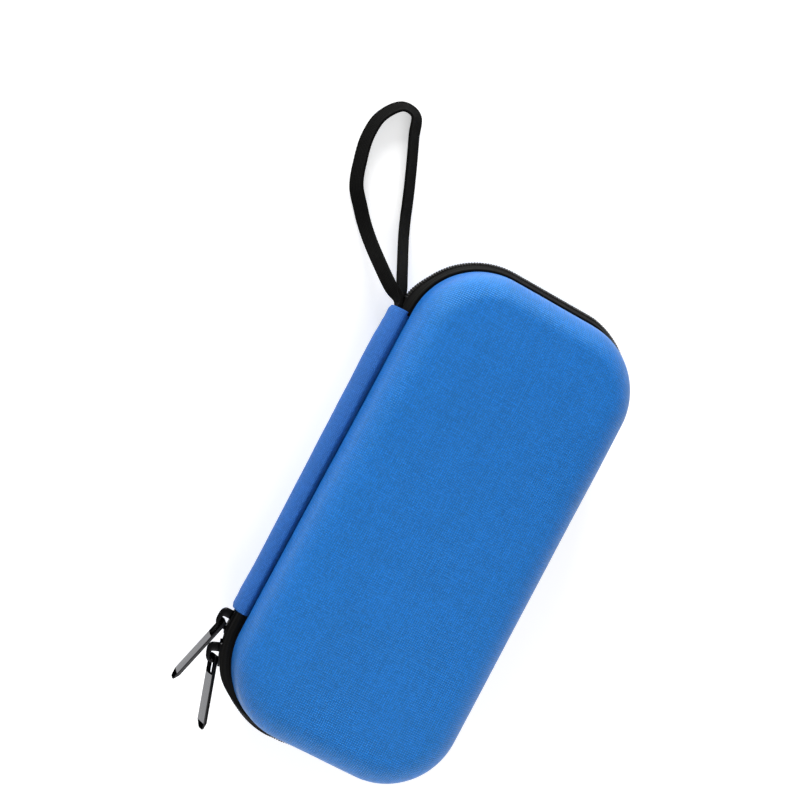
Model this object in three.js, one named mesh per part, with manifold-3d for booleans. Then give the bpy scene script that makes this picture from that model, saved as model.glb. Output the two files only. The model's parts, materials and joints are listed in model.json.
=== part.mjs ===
// Insulin cooling case: a zipped clamshell of two moulded foam shells on a fabric spine,
// lying on its back shell. Millimetres, +Z up through the thickness, +Y towards the strap,
// -X towards the spine. The origin is the middle of the back shell's flat face.
import * as THREE from "three";
import { mergeVertices } from "three/addons/utils/BufferGeometryUtils.js";
import Module from "manifold-3d";

// Whole case
const CASE_LENGTH = 200;
const CASE_WIDTH = 95;
const CORNER_RADIUS = 30;
const SHELL_DEPTH = 17;
const RING_HEIGHT = 14;
const FIT = 0.3;

// Shells and their insulating liners
const SHELL_WALL = 3.5;
const SHOULDER_RADIUS = 12;
const WALL_DRAFT = 1;
const LINER_WALL = 2.2;
const BINDING_THICKNESS = 0.7;
const BINDING_WIDTH = 4.2;

// Zipper: tape and coil positions count out from the rim outline and up from mid-height
const TAPE_THICKNESS = 0.8;
const TAPE_SEAM_DEPTH = 4.3;
const TAPE_BULGE = 2.2;
const TAPE_BEND_HEIGHT = 4.6;
const COIL_WIDTH = 1.9;
const COIL_THICKNESS = 2.2;
const COIL_LIFT = 0.2;
const SLIDER_POST_WIDTH = 0.8;

// Spine strip, and how far its ends stop short of the corners at the sliders and the strap
const SPINE_LOWER_MARGIN = 5.8;
const SPINE_UPPER_MARGIN = 2.5;
const SPINE_THICKNESS = 1.6;
const SPINE_BULGE = 7;
const SPINE_LINING_INSET = 2.6;
const SPINE_LINING_THICKNESS = 0.8;

// Sliders and pull tabs
const SLIDER_LENGTH = 9.8;
const SLIDER_HEAD_WIDTH = 8;
const SLIDER_TAIL_WIDTH = 6.6;
const SLIDER_PLATE = 1.2;
const SLIDER_CORNER = 1.2;
const SLIDER_CLEARANCE = 0.4;
const SLIDER_CURVE_ROOM = 1;
const SLIDER_POST_LENGTH = 2.2;
const LOWER_SLIDER_ANGLE = THREE.MathUtils.degToRad(21.3);
const CHAIN_END_ANGLE = THREE.MathUtils.degToRad(36);
const BRIDGE_LENGTH = 8;
const BRIDGE_HEIGHT = 4.9;
const BRIDGE_WIDTH = 1.8;
const BRIDGE_WALL = 1.3;
const BRIDGE_SINK = 0.4;
const TAB_LENGTH = 29;
const TAB_WIDTH = 6.4;
const TAB_THICKNESS = 1.4;
const TAB_RAIL = 1.5;
const TAB_WINDOW_LENGTH = 6.2;
const TAB_TIP_WIDTH = 3;
const TAB_TIP_LENGTH = 3;
const TAB_BAR_AT = 1.4;
const TAB_TWIST = THREE.MathUtils.degToRad(12);
const UPPER_TAB_SWING = THREE.MathUtils.degToRad(14.5);
const LOWER_TAB_SWING = THREE.MathUtils.degToRad(3);

// Wrist strap: webbing whose two ends are sewn in at the spine's upper end
const STRAP_WIDTH = 8;
const STRAP_THICKNESS = 1.2;
const STRAP_LEAN = THREE.MathUtils.degToRad(38);
const STRAP_DROOP_LENGTH = 46;
const ANCHOR_LENGTH = 4.4;

// Contents: gel pack, pen panel, elastic pen loops and the lid's net pocket
const GEL_MARGIN = 2.6;
const GEL_HEIGHT = 7;
const GEL_SEAM_THICKNESS = 1;
const GEL_SEAM_WIDTH = 3.5;
const GEL_SHOULDER = 1.8;
const GEL_CROWN = 0.6;
const GEL_CROWN_SLOPE = 4.7;
const PANEL_THICKNESS = 2.2;
const ELASTIC_THICKNESS = 1.1;
const ELASTIC_WIDTH = 22;
const ELASTIC_SPACING = 90;
const ELASTIC_END_GAP = 0.8;
const LOOP_COUNT = 3;
const LOOP_WIDTH = 17;
const LOOP_SPACING = 4.8;
const LOOP_HEIGHT = 16.4;
const LOOP_CORNER = 5;
const POCKET_DEPTH = 7;
const NET_THICKNESS = 0.8;
const POCKET_MOUTH = 14;
const HEM_WIDTH = 3.7;
const HEM_THICKNESS = 1.8;

// Facets
const CORNER_STEPS = 7;
const SHOULDER_STEPS = 5;
const LOOP_CORNER_STEPS = 4;
const SPINE_STEPS = 10;
const BRIDGE_STEPS = 4;
const STRAP_STEPS = 48;

// Sizes worked out from the ones above
const CASE_THICKNESS = 2 * SHELL_DEPTH + RING_HEIGHT;
const MID_Z = CASE_THICKNESS / 2;
const RIM_RISE = RING_HEIGHT / 2;
const SIDE_HALF = CASE_LENGTH / 2 - CORNER_RADIUS;
const END_HALF = CASE_WIDTH / 2 - CORNER_RADIUS;
const CORNER_ARC = (Math.PI / 2) * CORNER_RADIUS;
const RIM_LENGTH = 4 * (SIDE_HALF + END_HALF + CORNER_ARC);
const SEAM = TAPE_THICKNESS + 2 * FIT;
const LINER_INSET = SHELL_WALL + SEAM;
const BINDING_INSET = LINER_INSET + LINER_WALL + FIT;
const INNER_INSET = BINDING_INSET + WALL_DRAFT + BINDING_THICKNESS + FIT;
const LINER_FLOOR = SHELL_WALL + FIT + LINER_WALL;
const COIL_OUTSET = TAPE_BULGE + COIL_LIFT - COIL_THICKNESS / 2;
const COIL_INNER_RISE = SLIDER_POST_WIDTH / 2 + FIT;
const COIL_OUTER_RISE = COIL_INNER_RISE + COIL_WIDTH;
const SPINE_LOWER_END = SIDE_HALF - SPINE_LOWER_MARGIN;
const SPINE_UPPER_END = SIDE_HALF - SPINE_UPPER_MARGIN;
const ANCHOR_OUTSET = COIL_OUTSET + COIL_THICKNESS + 2 * FIT;
const ANCHOR_START = SPINE_UPPER_END + FIT;
const ANCHOR_END = ANCHOR_START + ANCHOR_LENGTH;
const ZIPPER_UPPER_END = SPINE_UPPER_END + FIT;
const UPPER_SLIDER_AT = SPINE_LOWER_END + 2 * FIT + SLIDER_LENGTH / 2;
const LOWER_SLIDER_AT = SIDE_HALF + LOWER_SLIDER_ANGLE * CORNER_RADIUS;
const CHAIN_END_AT = SIDE_HALF + CHAIN_END_ANGLE * CORNER_RADIUS;
const GEL_INSET = INNER_INSET + GEL_MARGIN;
const GEL_FLOOR = LINER_FLOOR + FIT;
const PANEL_FLOOR = GEL_FLOOR + GEL_HEIGHT + FIT;
const PANEL_TOP = PANEL_FLOOR + PANEL_THICKNESS;
const ELASTIC_HALF_SPAN = CASE_WIDTH / 2 - INNER_INSET - ELASTIC_END_GAP;
const LOOP_PITCH = LOOP_WIDTH + 2 * ELASTIC_THICKNESS + LOOP_SPACING;
const NET_TOP = CASE_THICKNESS - LINER_FLOOR - POCKET_DEPTH;
const NET_MOUTH_X = CASE_WIDTH / 2 - INNER_INSET - POCKET_MOUTH - HEM_WIDTH - FIT;

// Finishes
const finish = (color, roughness, metalness) =>
  new THREE.MeshStandardMaterial({ color, roughness, metalness });
const BLUE_FABRIC = finish(0x2f57a8, 0.85, 0);
const SPINE_FABRIC = finish(0x2c4a94, 0.85, 0);
const BLACK_TAPE = finish(0x17171a, 0.9, 0);
const BLACK_NYLON = finish(0x1c1a1b, 0.45, 0);
const BLACK_METAL = finish(0x2a2a2d, 0.35, 1);
const TAB_METAL = finish(0x77777b, 0.35, 1);
const FOIL = finish(0xc9ccd0, 0.3, 0.6);
const GREY_BOARD = finish(0x5a5f68, 0.9, 0);
const BLACK_NET = finish(0x1e1e22, 0.9, 0);
const GEL_FILM = finish(0x8fc4e6, 0.3, 0);

const wasm = await Module();
wasm.setup();

/** One leg of the rim: a straight run, or a quarter turn if it has a centre. */
function rimLegs() {
  const left = new THREE.Vector2(-1, 0);
  const down = new THREE.Vector2(0, -1);
  const right = new THREE.Vector2(1, 0);
  const up = new THREE.Vector2(0, 1);
  const straight = (length, x, y, along, out) => ({ length, start: new THREE.Vector2(x, y), along, out });
  const corner = (x, y, angle) => ({ length: CORNER_ARC, centre: new THREE.Vector2(x, y), angle });
  const halfLength = CASE_LENGTH / 2;
  const halfWidth = CASE_WIDTH / 2;
  return [
    straight(SIDE_HALF, -halfWidth, 0, down, left),
    corner(-END_HALF, -SIDE_HALF, Math.PI),
    straight(2 * END_HALF, -END_HALF, -halfLength, right, down),
    corner(END_HALF, -SIDE_HALF, 1.5 * Math.PI),
    straight(2 * SIDE_HALF, halfWidth, -SIDE_HALF, up, right),
    corner(END_HALF, SIDE_HALF, 0),
    straight(2 * END_HALF, END_HALF, halfLength, left, up),
    corner(-END_HALF, SIDE_HALF, Math.PI / 2),
    straight(SIDE_HALF, -halfWidth, SIDE_HALF, down, left),
  ];
}

const RIM_LEGS = rimLegs();

/** Place, outward and travel directions at a distance round the rim from the spine's middle. */
function rimAt(distance) {
  let rest = THREE.MathUtils.euclideanModulo(distance, RIM_LENGTH);
  let leg = RIM_LEGS[0];
  for (leg of RIM_LEGS) {
    if (rest <= leg.length) break;
    rest -= leg.length;
  }
  if (!leg.centre) {
    return { at: leg.start.clone().addScaledVector(leg.along, rest), out: leg.out, along: leg.along };
  }
  const angle = leg.angle + rest / CORNER_RADIUS;
  const out = new THREE.Vector2(Math.cos(angle), Math.sin(angle));
  const along = new THREE.Vector2(-out.y, out.x);
  return { at: leg.centre.clone().addScaledVector(out, CORNER_RADIUS), out, along };
}

/** Rim stations from one distance to another, with every corner facet between them. */
function rimStations(from, to) {
  const distances = [from];
  let legStart = 0;
  for (const leg of RIM_LEGS) {
    const steps = leg.centre ? CORNER_STEPS : 1;
    for (let i = 0; i < steps; i += 1) {
      const mark = legStart + (leg.length * i) / steps;
      if (mark > from + FIT && mark < to - FIT) distances.push(mark);
    }
    legStart += leg.length;
  }
  distances.push(to);
  return distances.map(rimAt);
}

const WHOLE_RIM = rimStations(0, RIM_LENGTH).slice(0, -1);

/** A point that lies out from a rim station, at a height. */
function rimPoint(station, outset, z) {
  const p = station.at.clone().addScaledVector(station.out, outset);
  return new THREE.Vector3(p.x, p.y, z);
}

/** The rim outline, moved inwards, at a height. */
const rimRing = (inset, z) => WHOLE_RIM.map((station) => rimPoint(station, -inset, z));

function signedVolume(positions, indices) {
  const a = new THREE.Vector3();
  const b = new THREE.Vector3();
  const c = new THREE.Vector3();
  let sum = 0;
  for (let i = 0; i < indices.length; i += 3) {
    a.fromArray(positions, 3 * indices[i]);
    b.fromArray(positions, 3 * indices[i + 1]);
    c.fromArray(positions, 3 * indices[i + 2]);
    sum += a.dot(b.cross(c));
  }
  return sum / 6;
}

/** Twice a triangle's area in an outline, negative if its corners run clockwise. */
function turnOf(outline, [a, b, c]) {
  const ab = outline[b].clone().sub(outline[a]);
  return ab.cross(outline[c].clone().sub(outline[a]));
}

/** A closed solid through rings of equal count; capOutline is the flat shape of its two ends. */
function loft(rings, capOutline) {
  const count = rings[0].length;
  const last = rings.length - 1;
  const positions = rings.flat().flatMap((p) => p.toArray());
  const indices = [];
  const joined = capOutline ? last : rings.length;
  for (let i = 0; i < joined; i += 1) {
    const next = (i + 1) % rings.length;
    for (let j = 0; j < count; j += 1) {
      const k = (j + 1) % count;
      indices.push(i * count + j, next * count + j, next * count + k);
      indices.push(i * count + j, next * count + k, i * count + k);
    }
  }
  if (capOutline) {
    const facing = THREE.ShapeUtils.isClockWise(capOutline) ? -1 : 1;
    for (const face of THREE.ShapeUtils.triangulateShape(capOutline, [])) {
      const [p, q, r] = turnOf(capOutline, face) * facing > 0 ? face : [...face].reverse();
      indices.push(p, q, r);
      indices.push(last * count + p, last * count + r, last * count + q);
    }
  }
  if (signedVolume(positions, indices) < 0) {
    for (let i = 0; i < indices.length; i += 3) {
      [indices[i + 1], indices[i + 2]] = [indices[i + 2], indices[i + 1]];
    }
  }
  const geometry = new THREE.BufferGeometry();
  geometry.setAttribute("position", new THREE.Float32BufferAttribute(positions, 3));
  geometry.setIndex(indices);
  return geometry;
}

const flat = (ring) => ring.map((p) => new THREE.Vector2(p.x, p.y));

/** A solid whose rings follow the rim, from [inset, height] pairs, closed at both ends. */
function stackOnRim(profile) {
  const rings = profile.map(([inset, z]) => rimRing(inset, z));
  return loft(rings, flat(rings[0]));
}

/** A section of [outset, rise] points swept along part of the rim. */
function sweepOnRim(section, from, to) {
  const rings = rimStations(from, to).map((station) =>
    section.map((p) => rimPoint(station, p.x, MID_Z + p.y)),
  );
  return loft(rings, section);
}

/** A closed band outline that keeps a thickness round an open centre line. */
function bandOutline(centreLine, thickness) {
  const side = (sign) =>
    centreLine.map((p, i) => {
      const before = centreLine[Math.max(i - 1, 0)];
      const after = centreLine[Math.min(i + 1, centreLine.length - 1)];
      const into = (i > 0 ? p.clone().sub(before) : after.clone().sub(p)).normalize();
      const onward = (i < centreLine.length - 1 ? after.clone().sub(p) : into.clone()).normalize();
      const mitre = into.clone().add(onward).normalize();
      const reach = (sign * thickness) / 2 / mitre.dot(into);
      return new THREE.Vector2(p.x - mitre.y * reach, p.y + mitre.x * reach);
    });
  return [...side(1), ...side(-1).reverse()];
}

const points = (...pairs) => pairs.map(([x, y]) => new THREE.Vector2(x, y));

/** Points of a quarter ellipse that leaves a wall at its start and lies flat at its end. */
function shoulder(wallInset, wallZ, floorInset, floorZ) {
  return Array.from({ length: SHOULDER_STEPS + 1 }, (_, i) => {
    const turn = ((Math.PI / 2) * i) / SHOULDER_STEPS;
    const inset = floorInset - (floorInset - wallInset) * Math.cos(turn);
    return [inset, wallZ - (wallZ - floorZ) * Math.sin(turn)];
  });
}

const FACE_INSET = WALL_DRAFT + SHOULDER_RADIUS;

/** A tray's profile from its outer floor up to the rim and down to its inner floor. */
function trayProfile(inset, floor, wall) {
  const outer = shoulder(inset + WALL_DRAFT, SHOULDER_RADIUS, FACE_INSET, floor).reverse();
  const inner = shoulder(inset + wall + WALL_DRAFT, SHOULDER_RADIUS, FACE_INSET, floor + wall);
  return [...outer, [inset, SHELL_DEPTH], [inset + wall, SHELL_DEPTH], ...inner];
}

/** The same profile on the front half, as a mirror image in the middle plane. */
const turnedOver = (profile) => profile.map(([inset, z]) => [inset, CASE_THICKNESS - z]);

const SHELL_PROFILE = trayProfile(0, 0, SHELL_WALL);
const LINER_PROFILE = trayProfile(LINER_INSET, SHELL_WALL + FIT, LINER_WALL);

/** A binding strip's section, lying on the liner's inner wall just below the rim. */
function bindingProfile() {
  const top = SHELL_DEPTH - FIT;
  const foot = top - BINDING_WIDTH;
  const slope = WALL_DRAFT / (SHELL_DEPTH - SHOULDER_RADIUS);
  const topInset = BINDING_INSET + slope * (SHELL_DEPTH - top);
  const footInset = BINDING_INSET + slope * (SHELL_DEPTH - foot);
  return [
    [topInset, top],
    [topInset + BINDING_THICKNESS, top],
    [footInset + BINDING_THICKNESS, foot],
    [footInset, foot],
  ];
}

const bindingRing = (profile) => loft(profile.map(([inset, z]) => rimRing(inset, z)));

const mirrored = (section) => section.map((p) => new THREE.Vector2(p.x, -p.y)).reverse();

const TAPE_SEAM_OUTSET = -(SHELL_WALL + FIT + TAPE_THICKNESS / 2);
const TAPE_FREE_EDGE = [TAPE_BULGE, COIL_OUTER_RISE + FIT];
const TAPE_BEND = [TAPE_BULGE, TAPE_BEND_HEIGHT];
const TAPE_ROOT = [TAPE_SEAM_OUTSET, RIM_RISE - TAPE_THICKNESS];

/** The tape's section: from its seam inside the rim, out below the rim, to the coil. */
function tapeSection() {
  const slope = WALL_DRAFT / (SHELL_DEPTH - SHOULDER_RADIUS);
  const seamEnd = [TAPE_SEAM_OUTSET - slope * TAPE_SEAM_DEPTH, RIM_RISE + TAPE_SEAM_DEPTH];
  return bandOutline(points(seamEnd, TAPE_ROOT, TAPE_BEND, TAPE_FREE_EDGE), TAPE_THICKNESS);
}

/** The tape at the chain's end, which stops short of both rims so that they can fold away. */
const endTapeSection = () => bandOutline(points(TAPE_ROOT, TAPE_BEND, TAPE_FREE_EDGE), TAPE_THICKNESS);

function coilSection() {
  const outer = COIL_OUTSET + COIL_THICKNESS;
  return points(
    [COIL_OUTSET, COIL_INNER_RISE],
    [outer, COIL_INNER_RISE],
    [outer, COIL_OUTER_RISE],
    [COIL_OUTSET, COIL_OUTER_RISE],
  );
}

/** The spine's bulging strip, an arc between the two rims. */
function spineSection() {
  const half = RIM_RISE - FIT;
  const radius = (half * half + SPINE_BULGE * SPINE_BULGE) / (2 * SPINE_BULGE);
  const reach = Math.asin(Math.min(1, half / radius));
  const sweep = SPINE_BULGE > radius ? Math.PI - reach : reach;
  const arc = (r) =>
    Array.from({ length: SPINE_STEPS + 1 }, (_, i) => {
      const turn = sweep * ((2 * i) / SPINE_STEPS - 1);
      const rise = THREE.MathUtils.clamp(r * Math.sin(turn), -half, half);
      return new THREE.Vector2(SPINE_BULGE - radius + r * Math.cos(turn), rise);
    });
  return [...arc(radius), ...arc(radius - SPINE_THICKNESS).reverse()];
}

function spineLiningSection() {
  const rise = RIM_RISE - FIT;
  const inner = -SPINE_LINING_INSET - SPINE_LINING_THICKNESS;
  return points([inner, -rise], [-SPINE_LINING_INSET, -rise], [-SPINE_LINING_INSET, rise], [inner, rise]);
}

const solidOf = (geometry) => {
  const bare = geometry.clone();
  bare.deleteAttribute("normal");
  bare.deleteAttribute("uv");
  const merged = mergeVertices(bare);
  const mesh = new wasm.Mesh({
    numProp: 3,
    vertProperties: new Float32Array(merged.attributes.position.array),
    triVerts: new Uint32Array(merged.index.array),
  });
  return new wasm.Manifold(mesh);
};

const geometryOf = (solid) => {
  const mesh = solid.getMesh();
  const geometry = new THREE.BufferGeometry();
  geometry.setAttribute("position", new THREE.Float32BufferAttribute(mesh.vertProperties, 3));
  geometry.setIndex(Array.from(mesh.triVerts));
  return geometry;
};

const fused = (...geometries) => geometryOf(geometries.map(solidOf).reduce((a, b) => a.add(b)));

const extrude = (shape, depth) => new THREE.ExtrudeGeometry(shape, { depth, bevelEnabled: false });

/** Heights above the rim outline on a slider: both plates, and the pull tab's bar. */
const OUTER_PLATE_Z = COIL_OUTSET + COIL_THICKNESS + SLIDER_CLEARANCE;
const BRIDGE_Z = OUTER_PLATE_Z + SLIDER_PLATE;
const INNER_PLATE_Z = COIL_OUTSET - SLIDER_CURVE_ROOM - SLIDER_PLATE;
const TAB_BAR_Z = BRIDGE_Z + (BRIDGE_HEIGHT - BRIDGE_WALL) / 2;

/** A slider plate, wide at its head: X across the tapes, Y along the chain. */
function sliderPlate(head) {
  const end = SLIDER_LENGTH / 2;
  const wide = SLIDER_HEAD_WIDTH / 2;
  const narrow = SLIDER_TAIL_WIDTH / 2;
  const shape = new THREE.Shape();
  shape.moveTo(-wide + SLIDER_CORNER, head * end);
  shape.lineTo(wide - SLIDER_CORNER, head * end);
  shape.lineTo(wide, head * (end - SLIDER_CORNER));
  shape.lineTo(narrow, head * (SLIDER_CORNER - end));
  shape.lineTo(narrow - SLIDER_CORNER, -head * end);
  shape.lineTo(SLIDER_CORNER - narrow, -head * end);
  shape.lineTo(-narrow, head * (SLIDER_CORNER - end));
  shape.lineTo(-wide, head * (end - SLIDER_CORNER));
  return extrude(shape, SLIDER_PLATE);
}

/** The arch on a slider's outer plate that the pull tab hangs in. */
function sliderBridge() {
  const half = BRIDGE_LENGTH / 2;
  const inner = half - BRIDGE_WALL;
  const eaves = BRIDGE_HEIGHT / 2;
  const ceiling = BRIDGE_HEIGHT - BRIDGE_WALL;
  const shape = new THREE.Shape();
  shape.moveTo(-half, -BRIDGE_SINK);
  shape.lineTo(-half, eaves);
  shape.quadraticCurveTo(-half, BRIDGE_HEIGHT, -half + eaves, BRIDGE_HEIGHT);
  shape.lineTo(half - eaves, BRIDGE_HEIGHT);
  shape.quadraticCurveTo(half, BRIDGE_HEIGHT, half, eaves);
  shape.lineTo(half, -BRIDGE_SINK);
  shape.lineTo(inner, -BRIDGE_SINK);
  shape.lineTo(inner, ceiling);
  shape.lineTo(-inner, ceiling);
  shape.lineTo(-inner, -BRIDGE_SINK);
  const settings = { depth: BRIDGE_WIDTH, bevelEnabled: false, curveSegments: BRIDGE_STEPS };
  const geometry = new THREE.ExtrudeGeometry(shape, settings);
  geometry.translate(0, BRIDGE_Z, -BRIDGE_WIDTH / 2);
  const across = new THREE.Vector3(1, 0, 0);
  const along = new THREE.Vector3(0, 1, 0);
  const out = new THREE.Vector3(0, 0, 1);
  return geometry.applyMatrix4(new THREE.Matrix4().makeBasis(along, out, across));
}

/** A slider: two plates joined by a post at the head, with the bridge on top. */
function sliderGeometry(head) {
  const postHeight = OUTER_PLATE_Z - INNER_PLATE_Z;
  const post = new THREE.BoxGeometry(SLIDER_POST_WIDTH, SLIDER_POST_LENGTH, postHeight);
  const postAt = head * (SLIDER_LENGTH / 2 - SLIDER_POST_LENGTH / 2 - SLIDER_CORNER / 2);
  post.translate(0, postAt, (OUTER_PLATE_Z + INNER_PLATE_Z + SLIDER_PLATE) / 2);
  const outer = sliderPlate(head).translate(0, 0, OUTER_PLATE_Z);
  const inner = sliderPlate(head).translate(0, 0, INNER_PLATE_Z);
  return fused(outer, inner, post, sliderBridge());
}

/** A pull tab that hangs along +Y from its bar: a window for the bridge, then a blunt tip. */
function tabGeometry() {
  const half = TAB_WIDTH / 2;
  const bar = TAB_THICKNESS / 2;
  const tip = TAB_TIP_WIDTH / 2;
  const shape = new THREE.Shape();
  shape.moveTo(-half, -bar);
  shape.lineTo(half, -bar);
  shape.lineTo(half, TAB_LENGTH - TAB_TIP_LENGTH);
  shape.lineTo(tip, TAB_LENGTH);
  shape.lineTo(-tip, TAB_LENGTH);
  shape.lineTo(-half, TAB_LENGTH - TAB_TIP_LENGTH);
  const rail = half - TAB_RAIL;
  shape.holes.push(new THREE.Path(points([-rail, bar], [-rail, bar + TAB_WINDOW_LENGTH],
    [rail, bar + TAB_WINDOW_LENGTH], [rail, bar])));
  return extrude(shape, TAB_THICKNESS).translate(0, 0, -TAB_THICKNESS / 2);
}

/** The placing of something built on a slider's axes: down, along the chain, outwards. */
function onRim(distance) {
  const station = rimAt(distance);
  const down = new THREE.Vector3(0, 0, -1);
  const along = new THREE.Vector3(station.along.x, station.along.y, 0);
  const out = new THREE.Vector3(station.out.x, station.out.y, 0);
  const place = new THREE.Matrix4().makeBasis(down, along, out);
  return place.setPosition(station.at.x, station.at.y, MID_Z);
}

/** A pull tab on its slider's bar, hanging with a slight twist and swung outwards by an angle. */
function tabOnSlider(distance, swing) {
  const tab = tabGeometry().rotateY(-TAB_TWIST).rotateX(swing);
  return tab.translate(0, TAB_BAR_AT, TAB_BAR_Z).applyMatrix4(onRim(distance));
}

/** The strap's two sewn ends, face to face beside the chain's upper end. */
function anchorGeometry() {
  const depth = 2 * STRAP_THICKNESS + FIT;
  const anchor = new THREE.BoxGeometry(depth, ANCHOR_LENGTH, STRAP_WIDTH);
  const x = -(CASE_WIDTH / 2 + ANCHOR_OUTSET + depth / 2);
  return anchor.translate(x, (ANCHOR_START + ANCHOR_END) / 2, MID_Z);
}

const STRAP_START_X = -(CASE_WIDTH / 2 + ANCHOR_OUTSET + 1.5 * STRAP_THICKNESS + FIT);
const STRAP_FINISH_X = -(CASE_WIDTH / 2 + ANCHOR_OUTSET + 0.5 * STRAP_THICKNESS);
const STRAP_ROOT_Y = ANCHOR_END + FIT;

/** The strap's route seen from above, as steps from its sewn root, round the loop and back. */
const STRAP_LOOP = points(
  [-4.5, 3.5],
  [-17, 15],
  [-30, 27.5],
  [-36.5, 34.5],
  [-40.5, 44.5],
  [-42.5, 54.5],
  [-41.5, 64.5],
  [-35.5, 72.5],
  [-28, 72],
  [-24.5, 64.5],
  [-19.5, 52.5],
  [-14, 38.5],
  [-6, 17.5],
);

/** The webbing loop: upright at its sewn ends, leaning inwards where it lies on the table. */
function strapGeometry() {
  const start = new THREE.Vector3(STRAP_START_X, STRAP_ROOT_Y, 0);
  const finish = new THREE.Vector3(STRAP_FINISH_X, STRAP_ROOT_Y, 0);
  const loop = STRAP_LOOP.map((p) => new THREE.Vector3(p.x, p.y, 0).add(finish));
  const curve = new THREE.CatmullRomCurve3([start, ...loop, finish], false, "centripetal");
  const length = curve.getLength();
  const halfWidth = STRAP_WIDTH / 2;
  const halfThickness = STRAP_THICKNESS / 2;
  const rings = Array.from({ length: STRAP_STEPS + 1 }, (_, i) => {
    const share = i / STRAP_STEPS;
    const fromEnd = length * Math.min(share, 1 - share);
    const laid = THREE.MathUtils.smoothstep(fromEnd, 0, STRAP_DROOP_LENGTH);
    const lean = STRAP_LEAN * laid;
    const rest = halfWidth * Math.cos(lean) + halfThickness * Math.sin(lean) + FIT;
    const at = curve.getPointAt(share).setZ(THREE.MathUtils.lerp(MID_Z, rest, laid));
    const along = curve.getTangentAt(share);
    if (fromEnd === 0) along.set(0, Math.sign(along.y), 0);
    const inwards = new THREE.Vector3(along.y, -along.x, 0).normalize();
    const across = new THREE.Vector3(0, 0, Math.cos(lean)).addScaledVector(inwards, Math.sin(lean));
    const through = inwards.clone().multiplyScalar(Math.cos(lean)).setZ(-Math.sin(lean));
    return [[-1, -1], [1, -1], [1, 1], [-1, 1]].map(([a, b]) =>
      at.clone().addScaledVector(across, a * halfWidth).addScaledVector(through, b * halfThickness),
    );
  });
  return loft(rings, points([-1, -1], [1, -1], [1, 1], [-1, 1]));
}

/** The gel pack: a flat welded seam all round a crowned pouch. */
function gelPackGeometry() {
  const middle = GEL_FLOOR + GEL_HEIGHT / 2;
  const halfSeam = GEL_SEAM_THICKNESS / 2;
  const seamInset = GEL_INSET + GEL_SEAM_WIDTH;
  const shoulderInset = seamInset + GEL_SHOULDER;
  const swell = GEL_HEIGHT / 2 - GEL_CROWN;
  return stackOnRim([
    [shoulderInset + GEL_CROWN_SLOPE, GEL_FLOOR],
    [shoulderInset, middle - swell],
    [seamInset, middle - halfSeam],
    [GEL_INSET, middle - halfSeam],
    [GEL_INSET, middle + halfSeam],
    [seamInset, middle + halfSeam],
    [shoulderInset, middle + swell],
    [shoulderInset + GEL_CROWN_SLOPE, GEL_FLOOR + GEL_HEIGHT],
  ]);
}

/** A strip of elastic sewn down between its pen loops, with its middle at y. */
function elasticGeometry(y) {
  const foot = PANEL_TOP + FIT + ELASTIC_THICKNESS / 2;
  const half = (LOOP_WIDTH + ELASTIC_THICKNESS) / 2;
  const crown = PANEL_TOP + LOOP_HEIGHT + ELASTIC_THICKNESS / 2;
  const bend = LOOP_CORNER + ELASTIC_THICKNESS / 2;
  const line = points([-ELASTIC_HALF_SPAN, foot]);
  for (let i = 0; i < LOOP_COUNT; i += 1) {
    const centre = (i - (LOOP_COUNT - 1) / 2) * LOOP_PITCH;
    line.push(...points([centre - half, foot]));
    for (const side of [-1, 1]) {
      for (let k = 0; k <= LOOP_CORNER_STEPS; k += 1) {
        const step = side < 0 ? k : LOOP_CORNER_STEPS - k;
        const turn = ((Math.PI / 2) * step) / LOOP_CORNER_STEPS;
        const x = centre + side * (half - bend + bend * Math.cos(turn));
        line.push(new THREE.Vector2(x, crown - bend + bend * Math.sin(turn)));
      }
    }
    line.push(...points([centre + half, foot]));
  }
  line.push(...points([ELASTIC_HALF_SPAN, foot]));
  const geometry = extrude(new THREE.Shape(bandOutline(line, ELASTIC_THICKNESS)), ELASTIC_WIDTH);
  return geometry.rotateX(Math.PI / 2).translate(0, y + ELASTIC_WIDTH / 2, 0);
}

/** The lid's net, sewn round three sides and open along its mouth. */
function netGeometry() {
  const outline = flat(rimRing(INNER_INSET, 0)).filter((p) => p.x < NET_MOUTH_X);
  const last = outline.findIndex((p, i) => i > 0 && p.y > 0 && outline[i - 1].y < 0);
  const end = CASE_LENGTH / 2 - INNER_INSET;
  const lower = outline.slice(0, last);
  const upper = outline.slice(last);
  const mouth = points([NET_MOUTH_X, -end], [NET_MOUTH_X, end]);
  const shape = new THREE.Shape([...lower, ...mouth, ...upper]);
  return extrude(shape, NET_THICKNESS).translate(0, 0, NET_TOP - NET_THICKNESS);
}

/** The elastic hem along the net's mouth. */
function hemGeometry() {
  const reach = CORNER_RADIUS - INNER_INSET;
  const inCorner = NET_MOUTH_X + FIT + HEM_WIDTH - END_HALF;
  const length = 2 * (SIDE_HALF + Math.sqrt(reach * reach - inCorner * inCorner) - FIT);
  const hem = new THREE.BoxGeometry(HEM_WIDTH, length, HEM_THICKNESS);
  return hem.translate(NET_MOUTH_X + FIT + HEM_WIDTH / 2, 0, NET_TOP - NET_THICKNESS / 2);
}

const caseGroup = new THREE.Group();
caseGroup.name = "insulin_cooling_case";

function add(name, geometry, material) {
  const mesh = new THREE.Mesh(geometry, material);
  mesh.name = name;
  caseGroup.add(mesh);
}

const ZIPPER_END = RIM_LENGTH - ZIPPER_UPPER_END;
const CHAIN_START = SPINE_LOWER_END + FIT;
const ZIPPER_START = CHAIN_END_AT + FIT;

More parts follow.
